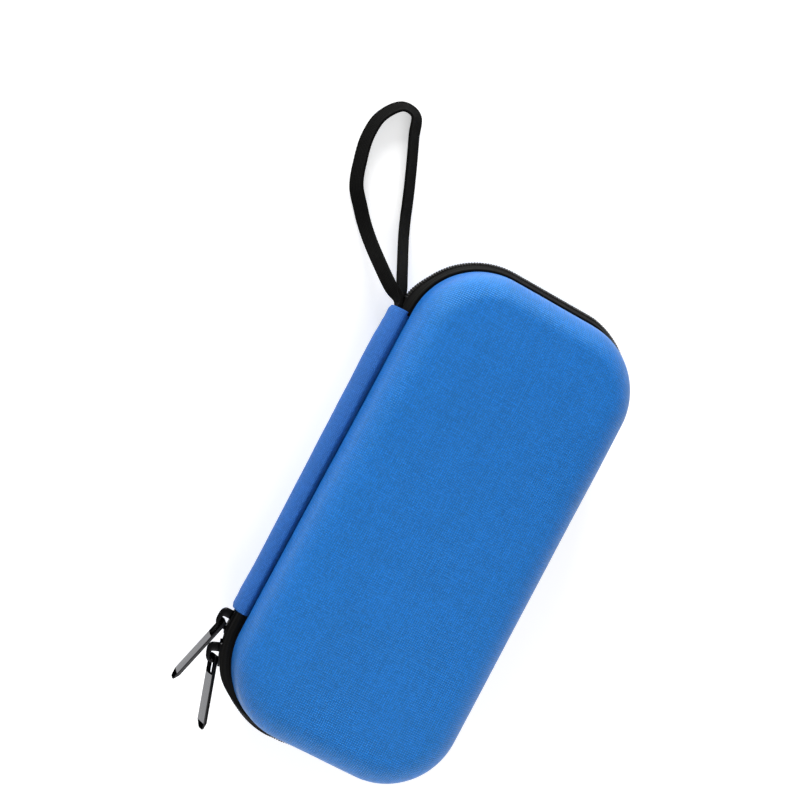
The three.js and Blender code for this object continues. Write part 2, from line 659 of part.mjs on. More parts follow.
// Back half
add("back_shell", stackOnRim(SHELL_PROFILE), BLUE_FABRIC);
add("back_liner", stackOnRim(LINER_PROFILE), FOIL);
add("back_zipper_tape", sweepOnRim(mirrored(tapeSection()), ZIPPER_START, ZIPPER_END), BLACK_TAPE);
add("back_zipper_coil", sweepOnRim(mirrored(coilSection()), ZIPPER_START, ZIPPER_END), BLACK_NYLON);
add("back_rim_binding", bindingRing(bindingProfile()), BLACK_TAPE);
add("gel_pack", gelPackGeometry(), GEL_FILM);
add("pen_panel", stackOnRim([[INNER_INSET, PANEL_FLOOR], [INNER_INSET, PANEL_TOP]]), GREY_BOARD);
add("pen_elastic_upper", elasticGeometry(ELASTIC_SPACING / 2), BLACK_TAPE);
add("pen_elastic_lower", elasticGeometry(-ELASTIC_SPACING / 2), BLACK_TAPE);
add("wrist_strap", strapGeometry(), BLACK_TAPE);

// Front half
add("front_shell", stackOnRim(turnedOver(SHELL_PROFILE)), BLUE_FABRIC);
add("front_liner", stackOnRim(turnedOver(LINER_PROFILE)), FOIL);
add("front_zipper_tape", sweepOnRim(tapeSection(), ZIPPER_START, ZIPPER_END), BLACK_TAPE);
add("front_zipper_coil", sweepOnRim(coilSection(), ZIPPER_START, ZIPPER_END), BLACK_NYLON);
add("front_rim_binding", bindingRing(turnedOver(bindingProfile())), BLACK_TAPE);
add("net_pocket", netGeometry(), BLACK_NET);
add("pocket_hem", hemGeometry(), BLACK_TAPE);

// Spine, with the end of the chain that the sliders are parked on
add("spine_strip", sweepOnRim(spineSection(), -SPINE_UPPER_END, SPINE_LOWER_END), SPINE_FABRIC);
add("spine_lining", sweepOnRim(spineLiningSection(), -SPINE_UPPER_END, SPINE_LOWER_END), BLACK_TAPE);
add("end_tape_front", sweepOnRim(endTapeSection(), CHAIN_START, CHAIN_END_AT), BLACK_TAPE);
add("end_tape_back", sweepOnRim(mirrored(endTapeSection()), CHAIN_START, CHAIN_END_AT), BLACK_TAPE);
add("end_coil_front", sweepOnRim(coilSection(), CHAIN_START, CHAIN_END_AT), BLACK_NYLON);
add("end_coil_back", sweepOnRim(mirrored(coilSection()), CHAIN_START, CHAIN_END_AT), BLACK_NYLON);
add("strap_anchor", anchorGeometry(), BLACK_TAPE);

// Sliders, head to head, and their pull tabs
add("slider_upper", sliderGeometry(1).applyMatrix4(onRim(UPPER_SLIDER_AT)), BLACK_METAL);
add("slider_lower", sliderGeometry(-1).applyMatrix4(onRim(LOWER_SLIDER_AT)), BLACK_METAL);
add("pull_tab_upper", tabOnSlider(UPPER_SLIDER_AT, UPPER_TAB_SWING), TAB_METAL);
add("pull_tab_lower", tabOnSlider(LOWER_SLIDER_AT, LOWER_TAB_SWING), TAB_METAL);

export default caseGroup;
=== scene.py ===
"""Insulin cooling case: a zipped clamshell of two moulded foam shells faced with woven cloth.

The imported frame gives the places. The classes below dress it: shells, zipper, spine, sliders,
wrist strap and the insulated inside. Metres, +Z up, +Y towards the strap, -X towards the spine.
"""

import json
import logging
import math
from dataclasses import dataclass
from enum import Enum
from functools import cache
from typing import Sequence

import bmesh
import bpy
import numpy as np
from mathutils import Matrix, Vector, noise


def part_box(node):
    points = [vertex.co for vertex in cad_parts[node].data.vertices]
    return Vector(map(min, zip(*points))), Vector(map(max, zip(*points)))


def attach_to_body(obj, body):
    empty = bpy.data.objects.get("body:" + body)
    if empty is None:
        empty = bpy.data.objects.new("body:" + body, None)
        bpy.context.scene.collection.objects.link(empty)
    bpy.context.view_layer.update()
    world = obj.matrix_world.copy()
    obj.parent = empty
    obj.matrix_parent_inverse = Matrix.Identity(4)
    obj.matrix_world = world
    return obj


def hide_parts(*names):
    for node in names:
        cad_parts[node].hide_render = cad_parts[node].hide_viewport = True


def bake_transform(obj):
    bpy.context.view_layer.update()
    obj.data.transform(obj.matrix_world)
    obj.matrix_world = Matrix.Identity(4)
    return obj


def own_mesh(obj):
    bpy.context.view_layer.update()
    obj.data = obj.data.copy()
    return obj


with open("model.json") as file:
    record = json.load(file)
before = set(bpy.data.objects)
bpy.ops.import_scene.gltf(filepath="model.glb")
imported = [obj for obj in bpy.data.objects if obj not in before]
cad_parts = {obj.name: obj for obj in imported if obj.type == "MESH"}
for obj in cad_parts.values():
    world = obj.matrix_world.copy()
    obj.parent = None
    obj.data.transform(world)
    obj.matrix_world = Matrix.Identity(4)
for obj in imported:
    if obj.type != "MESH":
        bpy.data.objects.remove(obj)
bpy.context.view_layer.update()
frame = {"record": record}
LOG = logging.getLogger("cooling_case")
MM = 0.001
CLOTH_MAP = "cloth"
CURVE_STEPS = 40
FACE_ROWS = 10
MERGE = 0.0005 * MM
BODY_OF: dict[str, str] = {
    node: body for body, nodes in frame["record"]["behaviour"]["bodies"].items() for node in nodes
}
Colour = tuple[float, float, float]
Place = tuple[float, float, float]
Object = bpy.types.Object


class Half(Enum):
    """The two halves of the clamshell, with the side of mid-height that each lies on."""

    BACK = -1
    FRONT = 1

    @property
    def word(self) -> str:
        """The half's name in node names."""
        return self.name.lower()

    @property
    def body(self) -> str:
        """The body that the half's shell belongs to."""
        return BODY_OF[f"{self.word}_shell"]


class Head(Enum):
    """Which way along the chain a slider's wide end points."""

    ONWARD = 1
    BACKWARD = -1


# Shapes


@dataclass(frozen=True)
class Stations:
    """Places round the rim: the corner centre each belongs to, and its outward direction."""

    core: np.ndarray
    out: np.ndarray
    corner: float
    distance: np.ndarray

    @property
    def outward(self) -> np.ndarray:
        """The outward directions as level [x, y, z] rows."""
        return np.column_stack([self.out, np.zeros(len(self.out))])

    def ring(self, outset: float | np.ndarray, z: float | np.ndarray) -> np.ndarray:
        """Points that lie out from the rim, at one height or at a height for each station."""
        flat = self.core + np.reshape(self.corner + outset, (-1, 1)) * self.out
        return np.column_stack([flat, np.broadcast_to(z, len(flat))])

    def sweep(self, section: np.ndarray) -> np.ndarray:
        """Carries a section of [outset, z] points, or one for each station, along the stations.

        Args:
            section: the points, or stations x points.

        Returns:
            Stations x points x 3 places.
        """
        whole = np.broadcast_to(section, (len(self.core), *section.shape[-2:]))
        rings = [self.ring(*whole[:, k].T) for k in range(whole.shape[1])]
        return np.stack(rings, axis=1)


@dataclass(frozen=True)
class Rim:
    """The rounded outline along which both shells meet, seen from above."""

    length: float
    width: float
    corner: float

    @property
    def side(self) -> float:
        """Half the straight run of a long side."""
        return self.length / 2 - self.corner

    @property
    def end(self) -> float:
        """Half the straight run of a short side."""
        return self.width / 2 - self.corner

    @property
    def marks(self) -> np.ndarray:
        """Distances from the spine's middle at which straights and corners begin and end.

        Returns:
            Ten distances, in order.
        """
        arc = self.corner * math.pi / 2
        legs = [self.side, arc, 2 * self.end, arc, 2 * self.side, arc, 2 * self.end, arc, self.side]
        return np.concatenate([[0], np.cumsum(legs)])

    @property
    def strap_corner(self) -> np.ndarray:
        """Where the corner from the opening side to the strap end begins and ends."""
        return self.marks[5:7]

    @property
    def around(self) -> float:
        """The whole way round."""
        return float(self.marks[-1])

    def walk(self, distances: np.ndarray) -> Stations:
        """Stands on the rim at distances from the spine's middle, first towards the sliders.

        Args:
            distances: how far round each station is, negative towards the strap.

        Returns:
            The stations in the same order.
        """
        place = np.mod(distances, self.around)
        x = np.interp(place, self.marks, self.end * np.array([-1, -1, -1, 1, 1, 1, 1, -1, -1, -1]))
        y = np.interp(place, self.marks, self.side * np.array([0, -1, -1, -1, -1, 1, 1, 1, 1, 0]))
        quarters = np.array([0, 0, 1, 1, 2, 2, 3, 3, 4, 4])
        turn = np.interp(place, self.marks, math.pi + quarters * math.pi / 2)
        out = np.column_stack([np.cos(turn), np.sin(turn)])
        return Stations(np.column_stack([x, y]), out, self.corner, np.asarray(distances))

    def whole(self, step: float) -> Stations:
        """Stations all the way round, without the first one again at the end."""
        count = round(self.around / step)
        return self.walk(np.arange(count) * self.around / count)

    def stretch(self, start: float, stop: float, step: float) -> Stations:
        """Stations from one distance to another, both included."""
        return self.walk(np.linspace(start, stop, max(2, round((stop - start) / step) + 1)))


@dataclass(frozen=True)
class Case:
    """Sizes that several sub-assemblies share."""

    length: float
    width: float
    depth: float
    thickness: float
    corner: float = 30 * MM
    fit: float = 0.3 * MM
    shell_wall: float = 3.5 * MM
    liner_wall: float = 2.2 * MM
    tape: float = 0.8 * MM
    draft: float = 1 * MM
    shoulder: float = 12 * MM
    binding: float = 0.7 * MM
    step: float = 1.4 * MM

    @classmethod
    def from_frame(cls) -> "Case":
        """Reads the case's overall sizes from its shells."""
        low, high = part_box("back_shell")
        return cls(high.y - low.y, high.x - low.x, high.z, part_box("front_shell")[1].z)

    @property
    def rim(self) -> Rim:
        """The outline where the shells meet."""
        return Rim(self.length, self.width, self.corner)

    @property
    def middle(self) -> float:
        """Mid-height."""
        return self.thickness / 2

    @property
    def rise(self) -> float:
        """From mid-height to either shell's rim."""
        return self.middle - self.depth

    @property
    def face_inset(self) -> float:
        """From the rim to the flat face inside the shoulder."""
        return self.draft + self.shoulder

    @property
    def liner_inset(self) -> float:
        """From the rim to the liner, past the shell's wall and the zipper tape's seam."""
        return self.shell_wall + self.tape + 2 * self.fit

    @property
    def inner_inset(self) -> float:
        """From the rim to the clear space inside the bindings."""
        return self.liner_inset + self.liner_wall + self.draft + self.binding + 2 * self.fit

    def height(self, half: Half, z: np.ndarray) -> np.ndarray:
        """Heights above a half's outer face, as heights in the case."""
        return z if half is Half.BACK else self.thickness - z


def steps_along(points: np.ndarray) -> np.ndarray:
    """Distance from the first point to each point of a line."""
    return np.concatenate([[0], np.cumsum(np.linalg.norm(np.diff(points, axis=0), axis=1))])


def headings(points: np.ndarray) -> np.ndarray:
    """The direction of a line at each of its points."""
    along = np.gradient(points, axis=0)
    return along / np.linalg.norm(along, axis=1, keepdims=True)


def girth(section: np.ndarray) -> np.ndarray:
    """Distance round a closed section to each of its points, and back to the first."""
    return steps_along(np.vstack([section, section[:1]]))


def unrolled(along: np.ndarray, around: np.ndarray) -> np.ndarray:
    """Places on flat cloth, for each distance along a band and each one round its section."""
    return np.stack(np.meshgrid(along, around, indexing="ij"), axis=-1)


def smooth(share: np.ndarray) -> np.ndarray:
    """Eases shares from 0 to 1 at both ends."""
    share = np.clip(share, 0, 1)
    return share * share * (3 - 2 * share)


def through(points: np.ndarray, count: int) -> np.ndarray:
    """A smooth centripetal curve through points.

    Args:
        points: the places that the curve passes, one a row.
        count: how many points the result has, at even steps of its length.

    Returns:
        The curve's points.
    """
    ends = np.vstack([2 * points[0] - points[1], points, 2 * points[-1] - points[-2]])
    share = np.linspace(0, 1, CURVE_STEPS, endpoint=False)[:, None]
    runs = []
    for a, b, c, d in zip(ends, ends[1:], ends[2:], ends[3:]):
        before, during, after = (math.sqrt(np.linalg.norm(q - p)) for p, q in ((a, b), (b, c), (c, d)))
        leave = during * ((b - a) / before - (c - a) / (before + during)) + c - b
        arrive = c - b - during * ((d - b) / (during + after) - (d - c) / after)
        cubic = 2 * b - 2 * c + leave + arrive
        square = 3 * c - 3 * b - 2 * leave - arrive
        runs.append(b + share * (leave + share * (square + share * cubic)))
    line = np.vstack([*runs, points[-1:]])
    travelled = steps_along(line)
    wanted = np.linspace(0, travelled[-1], count)
    return np.column_stack([np.interp(wanted, travelled, line[:, k]) for k in range(line.shape[1])])


def band(line: np.ndarray, thickness: float) -> np.ndarray:
    """A closed outline of even thickness round an open line, with rounded ends.

    Args:
        line: its middle, one [x, y] point a row.
        thickness: from side to side.

    Returns:
        The outline's points.
    """
    along = headings(line)
    left = np.column_stack([-along[:, 1], along[:, 0]]) * thickness / 2
    first, last = line[:1] - along[:1] * thickness / 3, line[-1:] + along[-1:] * thickness / 3
    return np.vstack([line + left, last, (line - left)[::-1], first])


def arc(centre: Sequence[float], radius: float, start: float, stop: float, steps: int) -> np.ndarray:
    """Points of a circle's arc, from one angle in degrees to another."""
    turn = np.radians(np.linspace(start, stop, steps))
    return np.asarray(centre) + radius * np.column_stack([np.cos(turn), np.sin(turn)])


@dataclass(frozen=True)
class Stitch:
    """A running stitch: its pitch, the thread's radius, the share that shows and how deep its ends dip."""

    pitch: float
    thread: float
    reach: float = 0.38
    dip: float = 2.2


class Skin:
    """Collects grids and tubes, and turns them into one mesh object."""

    def __init__(self, name: str) -> None:
        """Starts an empty skin with the name its object will have.

        Args:
            name: the object's name.
        """
        self.name = name
        self.points: list[np.ndarray] = []
        self.faces: list[list[int]] = []
        self.flat: list[np.ndarray] = []
        self.count = 0

    def grid(self, points: np.ndarray, flat: np.ndarray | None = None, wrap_rows: bool = False,
             wrap_columns: bool = False, caps: bool = False) -> "Skin":
        """Adds a grid of quads.

        Args:
            points: rows x columns x 3 places.
            flat: rows x columns x 2 places on the unrolled cloth, one more row or column where it wraps.
            wrap_rows: whether the last row joins the first.
            wrap_columns: whether the last column joins the first.
            caps: whether the first and last rows are closed.

        Returns:
            The skin itself.
        """
        rows, columns = points.shape[:2]
        if flat is None:
            flat = np.zeros((rows + 1, columns + 1, 2))
        steps = np.arange(rows - 1 + wrap_rows), np.arange(columns - 1 + wrap_columns)
        i, j = np.meshgrid(*steps, indexing="ij")
        corners = [(i, j), (i + 1, j), (i + 1, j + 1), (i, j + 1)]
        quads = np.stack([self.count + (a % rows) * columns + b % columns for a, b in corners], axis=-1)
        self.faces += quads.reshape(-1, 4).tolist()
        self.flat.append(np.stack([flat[a, b] for a, b in corners], axis=-2).reshape(-1, 2))
        if caps:
            for row in (0, rows - 1):
                self.faces.append([self.count + row * columns + k for k in range(columns)])
                self.flat.append(flat[row, :columns].reshape(-1, 2))
        self.points.append(points.reshape(-1, 3))
        self.count += rows * columns
        return self

    def bar(self, sections: np.ndarray, flat: np.ndarray | None = None) -> "Skin":
        """Adds a closed bar through a row of closed sections."""
        return self.grid(sections, flat, wrap_columns=True, caps=True)

    def tube(self, path: np.ndarray, radius: float, sides: int = 6) -> "Skin":
        """Adds a round thread along a path, closed at both ends.

        Args:
            path: the thread's middle.
            radius: half its width.
            sides: how many sides it has.

        Returns:
            The skin itself.
        """
        along = headings(path)
        side = np.cross(along[0], np.eye(3)[np.argmin(np.abs(along[0]))])
        turn = np.linspace(0, 2 * math.pi, sides, endpoint=False)
        rings = []
        for place, direction in zip(path, along):
            side = side - direction * (side @ direction)
            side /= np.linalg.norm(side)
            rise = np.cross(direction, side)
            rings.append(place + radius * (np.outer(np.cos(turn), side) + np.outer(np.sin(turn), rise)))
        return self.bar(np.array(rings))

    def stitches(self, line: np.ndarray, normal: np.ndarray, stitch: Stitch) -> "Skin":
        """Adds a row of running stitches along a line.

        Args:
            line: points on the cloth's surface.
            normal: the outward direction at each point, or one for all.
            stitch: what each stitch is like.

        Returns:
            The skin itself.
        """
        normals = np.broadcast_to(normal, line.shape)
        travelled = steps_along(line)
        shape = np.linspace(-stitch.reach, stitch.reach, 5)
        lift = stitch.thread * (1 - stitch.dip * (shape / shape[-1]) ** 4)
        for middle in np.arange(stitch.pitch / 2, travelled[-1], stitch.pitch):
            at = middle + shape * stitch.pitch
            place, out = (np.column_stack([np.interp(at, travelled, v[:, k]) for k in range(3)])
                          for v in (line, normals))
            self.tube(place + out * lift[:, None], stitch.thread, 5)
        return self

    def object(self, finish: "Finish", creases: float = 40) -> Object:
        """Makes the mesh object and gives it its finish.

        Args:
            finish: what the surface is made of.
            creases: edges sharper than this many degrees stay sharp.

        Returns:
            The new object, in the scene.
        """
        mesh = bpy.data.meshes.new(self.name)
        mesh.from_pydata(np.vstack(self.points).tolist(), [], self.faces)
        mesh.uv_layers.new(name=CLOTH_MAP).data.foreach_set("uv", np.vstack(self.flat).ravel())
        return shown(self.name, mesh, finish, creases)


def shown(name: str, mesh: bpy.types.Mesh, finish: "Finish", creases: float = 40,
          *others: "Finish") -> Object:
    """Cleans a mesh, shades it smooth between creases and puts it in the scene.

    Args:
        name: the new object's name.
        mesh: its mesh, in place.
        finish: what the surface is made of.
        creases: edges sharper than this many degrees stay sharp.
        others: finishes of faces that carry a material index of 1 or more.

    Returns:
        The new object.
    """
    work = bmesh.new()
    work.from_mesh(mesh)
    bmesh.ops.remove_doubles(work, verts=work.verts, dist=MERGE)
    bmesh.ops.recalc_face_normals(work, faces=work.faces)
    for edge in work.edges:
        edge.smooth = edge.calc_face_angle(0) < math.radians(creases)
    for face in work.faces:
        face.smooth = True
    work.to_mesh(mesh)
    work.free()
    chosen = [face.material_index for face in mesh.polygons]
    mesh.materials.clear()
    for each in (finish, *others):
        mesh.materials.append(each.material())
    mesh.polygons.foreach_set("material_index", chosen)
    piece = bpy.data.objects.new(name, mesh)
    bpy.context.scene.collection.objects.link(piece)
    return piece


def plate(outline: np.ndarray, thickness: float, bevel: float,
          holes: Sequence[np.ndarray] = ()) -> bpy.types.Mesh:
    """A flat plate with rounded edges, in the XY plane with its middle at z = 0.

    Args:
        outline: the plate's outer corners.
        thickness: through the plate.
        bevel: radius of the rounded edges.
        holes: outlines that are cut through.

    Returns:
        The plate's mesh.
    """
    curve = bpy.data.curves.new("plate", "CURVE")
    curve.dimensions = "2D"
    curve.fill_mode = "BOTH"
    curve.extrude = thickness / 2 - bevel
    curve.bevel_depth = bevel
    curve.bevel_resolution = 2
    curve.offset = -bevel
    for ring in (outline, *holes):
        spline = curve.splines.new("POLY")
        spline.points.add(len(ring) - 1)
        level = np.column_stack([ring, np.zeros(len(ring)), np.ones(len(ring))])
        spline.points.foreach_set("co", level.ravel())
        spline.use_cyclic_u = True
    holder = bpy.data.objects.new("plate", curve)
    bpy.context.scene.collection.objects.link(holder)
    mesh = bpy.data.meshes.new_from_object(holder.evaluated_get(bpy.context.evaluated_depsgraph_get()))
    bpy.data.objects.remove(holder)
    bpy.data.curves.remove(curve)
    return mesh


def joined(meshes: Sequence[bpy.types.Mesh]) -> bpy.types.Mesh:
    """One mesh of several.

    Args:
        meshes: the meshes, in place.

    Returns:
        A new mesh.
    """
    work = bmesh.new()
    for mesh in meshes:
        work.from_mesh(mesh)
    whole = bpy.data.meshes.new("joined")
    work.to_mesh(whole)
    work.free()
    return whole


def soften(piece: Object, size: float, amount: float) -> Object:
    """Moves a soft piece's surface in and out in gentle waves.

    Args:
        piece: the piece, with its mesh in place.
        size: how far apart the waves are.
        amount: how high they are.

    Returns:
        The piece.
    """
    moved = [v.co + v.normal * noise.noise(v.co / size) * amount for v in piece.data.vertices]
    piece.data.vertices.foreach_set("co", np.array(moved).ravel())
    piece.data.update()
    return piece


# Shader groups


class Graph:
    """A node tree with short calls for adding and joining nodes."""

    def __init__(self, tree: bpy.types.NodeTree) -> None:
        """Takes the tree that nodes are added to."""
        self.tree = tree

    def feed(self, socket: bpy.types.NodeSocket, value: object) -> None:
        """Joins a socket to another, or sets its value.

        Args:
            socket: the input.
            value: a socket or a plain value.
        """
        if isinstance(value, bpy.types.NodeSocket):
            self.tree.links.new(value, socket)
        else:
            socket.default_value = value

    def add(self, kind: str, inputs: dict[str, object] | None = None, **settings: object) -> bpy.types.Node:
        """Adds a node.

        Args:
            kind: the node's type, without the word that starts every shader node.
            inputs: values or sockets for its inputs, by name.
            settings: the node's own settings.

        Returns:
            The new node.
        """
        node = self.tree.nodes.new("ShaderNode" + kind)
        for name, value in settings.items():
            setattr(node, name, value)
        for name, value in (inputs or {}).items():
            self.feed(node.inputs[name], value)
        return node

    def maths(self, operation: str, *values: object) -> bpy.types.NodeSocket:
        """The result of one arithmetic step.

        Args:
            operation: the step's name.
            values: its inputs, in order.

        Returns:
            The result's socket.
        """
        node = self.add("Math", operation=operation)
        for socket, value in zip(node.inputs, values):
            self.feed(socket, value)
        return node.outputs[0]

    def blend(self, share: object, first: object, second: object) -> bpy.types.NodeSocket:
        """A number between two others."""
        node = self.add("Mix", {"Factor": share, "A": first, "B": second})
        return node.outputs["Result"]

    def tint(self, share: object, first: Colour, second: Colour) -> bpy.types.NodeSocket:
        """A colour between two others.

        Args:
            share: how far towards the second.
            first: the colour at 0.
            second: the colour at 1.

        Returns:
            The colour's socket.
        """
        node = self.add("Mix", data_type="RGBA")
        self.feed(node.inputs[0], share)
        self.feed(node.inputs[6], (*first, 1))
        self.feed(node.inputs[7], (*second, 1))
        return node.outputs[2]

    def ramp(self, value: object, source: tuple[float, float], result: tuple[object, object],
             easing: str = "LINEAR") -> bpy.types.NodeSocket:
        """Carries a value from one range to another.

        Args:
            value: the value.
            source: the range that it has.
            result: what its two ends become.
            easing: how it goes between them.

        Returns:
            The carried value.
        """
        ends = {"From Min": source[0], "From Max": source[1], "To Min": result[0], "To Max": result[1]}
        return self.add("MapRange", {"Value": value, **ends}, interpolation_type=easing).outputs["Result"]

    def use(self, group: bpy.types.NodeTree, **inputs: object) -> bpy.types.Node:
        """Places a shared group with its own values.

        Args:
            group: the group.
            inputs: its values, by name.

        Returns:
            The group's node.
        """
        node = self.add("Group")
        node.node_tree = group
        for name, value in inputs.items():
            self.feed(node.inputs[name], value)
        return node


def new_group(name: str, inputs: dict[str, str],
              outputs: Sequence[str]) -> tuple[Graph, bpy.types.Node, bpy.types.Node]:
    """Starts a shared group.

    Args:
        name: the group's name.
        inputs: each input's name and kind of socket.
        outputs: names of the values that it puts out.

    Returns:
        The group's graph, and its input and output nodes.
    """
    tree = bpy.data.node_groups.new(name, "ShaderNodeTree")
    for label, kind in inputs.items():
        tree.interface.new_socket(name=label, in_out="INPUT", socket_type="NodeSocket" + kind)
    for label in outputs:
        tree.interface.new_socket(name=label, in_out="OUTPUT", socket_type="NodeSocketFloat")
    return Graph(tree), tree.nodes.new("NodeGroupInput"), tree.nodes.new("NodeGroupOutput")


@cache
def weave_group() -> bpy.types.NodeTree:
    """Plain weave: threads that pass over and under each other, with tones of their own.

    Returns:
        The group's node tree.
    """
    lowest, fullness, speckled = 0.45, 0.6, 0.6
    g, given, result = new_group("Plain weave", {"Place": "Vector", "Thread": "Float"}, ["Height", "Tone"])
    per_metre = g.maths("DIVIDE", 1, given.outputs["Thread"])
    place = g.add("VectorMath", {"Vector": given.outputs["Place"], "Scale": per_metre}, operation="SCALE")
    split = g.add("SeparateXYZ", {"Vector": place.outputs["Vector"]})
    counts, swells, tones = [], [], []
    for axis in "XY":
        thread = g.maths("FLOOR", split.outputs[axis])
        counts.append(thread)
        swells.append(g.maths("ABSOLUTE", g.maths("SINE", g.maths("MULTIPLY", split.outputs[axis], math.pi))))
        tones.append(g.add("TexWhiteNoise", {"W": thread}, noise_dimensions="1D").outputs["Value"])
    over = g.maths("FLOORED_MODULO", g.maths("ADD", *counts), 2)
    heights = []
    for across, along in (swells, swells[::-1]):
        arch = g.maths("MULTIPLY_ADD", along, 1 - lowest, lowest)
        heights.append(g.maths("MULTIPLY", g.maths("POWER", across, fullness), arch))
    g.feed(result.inputs["Height"], g.blend(over, heights[1], heights[0]))
    crossing = g.add("CombineXYZ", {"X": counts[0], "Y": counts[1]}).outputs["Vector"]
    speck = g.add("TexWhiteNoise", {"Vector": crossing}, noise_dimensions="2D").outputs["Value"]
    g.feed(result.inputs["Tone"], g.blend(speckled, g.blend(over, tones[1], tones[0]), speck))
    return g.tree


@cache
def cloud_group() -> bpy.types.NodeTree:
    """Soft patches, for handling marks, fading and uneven sheen.

    Returns:
        The group's node tree.
    """
    g, given, result = new_group("Soft patches", {"Place": "Vector", "Size": "Float"}, ["Value"])
    scale = g.maths("DIVIDE", 1, given.outputs["Size"])
    patches = g.add("TexNoise", {"Vector": given.outputs["Place"], "Scale": scale, "Detail": 3.0})
    g.feed(result.inputs["Value"], patches.outputs["Fac"])
    return g.tree


@cache
def rib_group() -> bpy.types.NodeTree:
    """Ribs that run along a woven band, broken into small picks.

    Returns:
        The group's node tree.
    """
    picks_per_rib, pick_height, span = 1.3, 0.35, 0.37
    g, given, result = new_group("Ribs", {"Place": "Vector", "Rib": "Float"}, ["Height"])
    split = g.add("SeparateXYZ", {"Vector": given.outputs["Place"]})
    turn = g.maths("DIVIDE", 2 * math.pi, given.outputs["Rib"])
    across = g.maths("SINE", g.maths("MULTIPLY", split.outputs["Y"], turn))
    finer = g.maths("MULTIPLY", turn, picks_per_rib)
    picks = g.maths("SINE", g.maths("MULTIPLY", split.outputs["X"], finer))
    together = g.maths("MULTIPLY_ADD", picks, pick_height, across)
    g.feed(result.inputs["Height"], g.maths("MULTIPLY_ADD", together, span, 0.5))
    return g.tree


@cache
def wear_group() -> bpy.types.NodeTree:
    """Where a plated piece is rubbed: on its edges, in patches, with fine hair scratches.

    Returns:
        The group's node tree.
    """
    blunt, sharp, hairs_per_metre = 0.52, 0.6, (900, 90, 4000)
    g, given, result = new_group("Rubbed edges", {"Place": "Vector", "Size": "Float"}, ["Edge", "Scratch"])
    place = given.outputs["Place"]
    point = g.add("NewGeometry").outputs["Pointiness"]
    edge = g.ramp(point, (blunt, sharp), (0.0, 1.0))
    scale = g.maths("DIVIDE", 1, given.outputs["Size"])
    patch = g.add("TexNoise", {"Vector": place, "Scale": scale, "Detail": 4.0}).outputs["Fac"]
    g.feed(result.inputs["Edge"], g.maths("MULTIPLY", edge, patch))
    stretch = g.add("Mapping", {"Vector": place, "Scale": hairs_per_metre})
    hair = g.add("TexNoise", {"Vector": stretch.outputs["Vector"], "Scale": 1.0, "Detail": 2.0})
    g.feed(result.inputs["Scratch"], hair.outputs["Fac"])
    return g.tree


# Finishes


@dataclass(frozen=True)
class Finish:
    """What every finish has: a name, the record's slot for it, a colour and a roughness."""

    name: str
    slot: str
    colour: Colour
    roughness: float

    def material(self) -> bpy.types.Material:
        """The finish's material, made when it is first asked for.

        Returns:
            The material.
        """
        made = bpy.data.materials.get(self.name)
        if made is None:
            made = bpy.data.materials.new(self.name)
            made.use_nodes = True
            made.diffuse_color = (*self.colour, 1)
            graph = Graph(made.node_tree)
            shader = made.node_tree.nodes["Principled BSDF"]
            shader.inputs["Base Color"].default_value = (*self.colour, 1)
            shader.inputs["Roughness"].default_value = self.roughness
            self.wire(graph, shader)
        return made

    def wire(self, g: Graph, shader: bpy.types.Node) -> None:
        """Adds the finish's own nodes."""

    def relief(self, g: Graph, shader: bpy.types.Node, height: bpy.types.NodeSocket, depth: float) -> None:
        """Raises the surface by a height of up to a depth."""
        bump = g.add("Bump", {"Height": height, "Distance": depth})
        g.feed(shader.inputs["Normal"], bump.outputs["Normal"])

    def shades(self, low: float, high: float) -> tuple[Colour, Colour]:
        """A darker and a lighter shade of the colour."""
        return tuple(low * c for c in self.colour), tuple(min(1, high * c) for c in self.colour)

    def tone(self, g: Graph, shader: bpy.types.Node, value: object, low: float, high: float) -> None:
        """Lets a value run the colour from a darker to a lighter shade."""
        g.feed(shader.inputs["Base Color"], g.tint(value, *self.shades(low, high)))

    def mottle(self, g: Graph, shader: bpy.types.Node, value: object, spread: float) -> None:
        """Lets a value move the roughness within a spread about its middle."""
        rough = g.maths("MULTIPLY_ADD", value, spread, self.roughness - spread / 2)
        g.feed(shader.inputs["Roughness"], rough)


